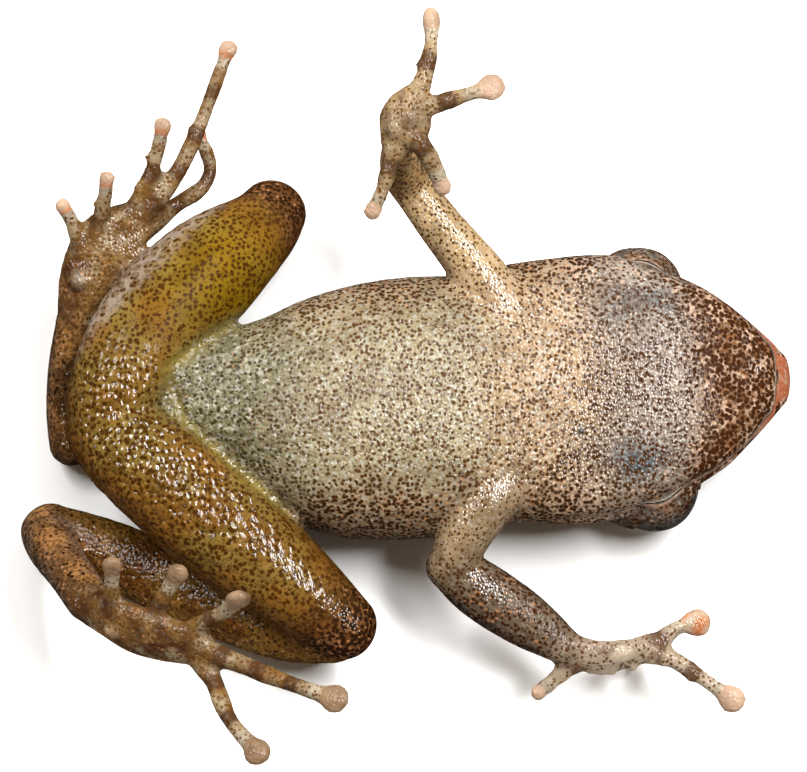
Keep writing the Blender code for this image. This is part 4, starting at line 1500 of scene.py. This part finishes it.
def make_eyes():
    """Each eye is a flat-fronted ball with the iris, behind a clear cornea."""
    clear = cornea_material()
    for side, word in ((1, "right"), (-1, "left")):
        centre, axis = eye_centre(side), Vector(eye_axis(side))

        def inner_reach(way):
            front = way.dot(axis)
            return min(EYEBALL_RADIUS, IRIS_DEPTH / front) if front > 0.1 else EYEBALL_RADIUS

        def outer_reach(way):
            return EYE_RADIUS + CORNEA_BULGE * max(0.0, way.dot(axis)) ** 6

        inner = ball_mesh("eyeball_" + word, centre, inner_reach)
        inner.data.materials.append(iris_material(side))
        outer = ball_mesh("cornea_" + word, centre, outer_reach)
        outer.data.materials.append(clear)
        for piece in (inner, outer):
            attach(piece, "root")
            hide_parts("eye_" + word)


# Floor, light and camera

# Half the side of the floor, in metres.
FLOOR_HALF = 0.6

# The photograph's width in pixels, and what one pixel covers in millimetres.
PHOTO_WIDTH = 807
PIXEL = 0.035

# The camera: its distance, its tilt in degrees, what it looks at, in millimetres,
# and the width of its sensor.
CAMERA_FAR = 200.0
CAMERA_TILT = 11.0
CAMERA_TARGET = (-0.93, 0.66, 3.6)
SENSOR = 36.0


def make_stage():
    """A plain white board, lit until it is nearly pure white."""
    mesh = bpy.data.meshes.new("floor")
    half = FLOOR_HALF
    corners = [(-half, -half, 0), (half, -half, 0), (half, half, 0), (-half, half, 0)]
    mesh.from_pydata(corners, [], [(0, 1, 2, 3)])
    mesh.materials.append(board_material())
    floor = bpy.data.objects.new("floor", mesh)
    bpy.context.scene.collection.objects.link(floor)
    # Its mirror image in wet skin is filtered away, as the fill lamp's is.
    floor.visible_glossy = False


# Soft lamps: the way to each, its distance, sides in metres, roll, watts, and
# whether wet skin mirrors it: a flash on each side of the lens, and a soft fill
# that is polarised away, as it is in studios.
LAMPS = (
    ("key", (0.44, 0.28, 1.0), 0.32, 0.22, 0.062, -16.0, 2.3, True),
    ("left", (-0.55, 0.4, 1.0), 0.35, 0.16, 0.045, 10.0, 1.1, True),
    ("fill", (-0.3, 0.9, 0.9), 0.4, 0.25, 0.25, 0.0, 0.7, False),
)


def make_light():
    """The lamps, and a backdrop that wet skin doesn't mirror."""
    world = bpy.data.worlds.new("studio")
    world.use_nodes = True
    # A pale backdrop low down and a dim warm room above it, so that wet skin and
    # its contact shadows keep their depth.
    tree = world.node_tree
    rise = add(tree, "SeparateXYZ", {0: add(tree, "TexCoord", {}, "Generated")}, "Z")
    inputs = {0: rise, 1: 0.12, 2: 0.3, 3: 1.0, 4: 0.0}
    low = add(tree, "MapRange", inputs, interpolation_type="SMOOTHSTEP")
    walls = laid_over(tree, hexed("#6c5945"), hexed("#e7e6e4"), low)
    tree.links.new(walls, tree.nodes["Background"].inputs["Color"])
    bpy.context.scene.world = world
    world.cycles_visibility.glossy = False
    target = Vector((0.0, 0.0, 0.003))
    for name, way, far, wide, tall, roll, watts, mirrored in LAMPS:
        lamp = bpy.data.lights.new(name, "AREA")
        lamp.shape = "RECTANGLE"
        lamp.size = wide
        lamp.size_y = tall
        lamp.energy = watts
        holder = bpy.data.objects.new(name, lamp)
        holder.visible_glossy = mirrored
        holder.location = target + Vector(way).normalized() * far
        turn = (target - holder.location).to_track_quat("-Z", "Y")
        turn = turn @ Quaternion((0.0, 0.0, 1.0), math.radians(roll))
        holder.rotation_euler = turn.to_euler()
        bpy.context.scene.collection.objects.link(holder)
    bpy.context.scene.view_settings.view_transform = "Standard"


def make_camera():
    """The photograph's view, from above and a little from the frog's left."""
    tilt = math.radians(CAMERA_TILT)
    camera = bpy.data.cameras.new("camera")
    camera.sensor_width = SENSOR
    camera.lens = SENSOR * CAMERA_FAR / (PHOTO_WIDTH * PIXEL)
    camera.clip_start = 0.01
    holder = bpy.data.objects.new("camera", camera)
    way = Vector((0.0, -math.sin(tilt), math.cos(tilt)))
    holder.location = (Vector(CAMERA_TARGET) + way * CAMERA_FAR) * MM
    holder.rotation_euler = (tilt, 0.0, 0.0)
    bpy.context.scene.collection.objects.link(holder)
    bpy.context.scene.camera = holder


skin = make_skin()
skin.data.materials.clear()
skin.data.materials.append(skin_material())
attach(skin, "root")
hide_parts("torso", "head", *LIMBS, *DIGITS)
make_eyes()
make_stage()
make_light()
make_camera()
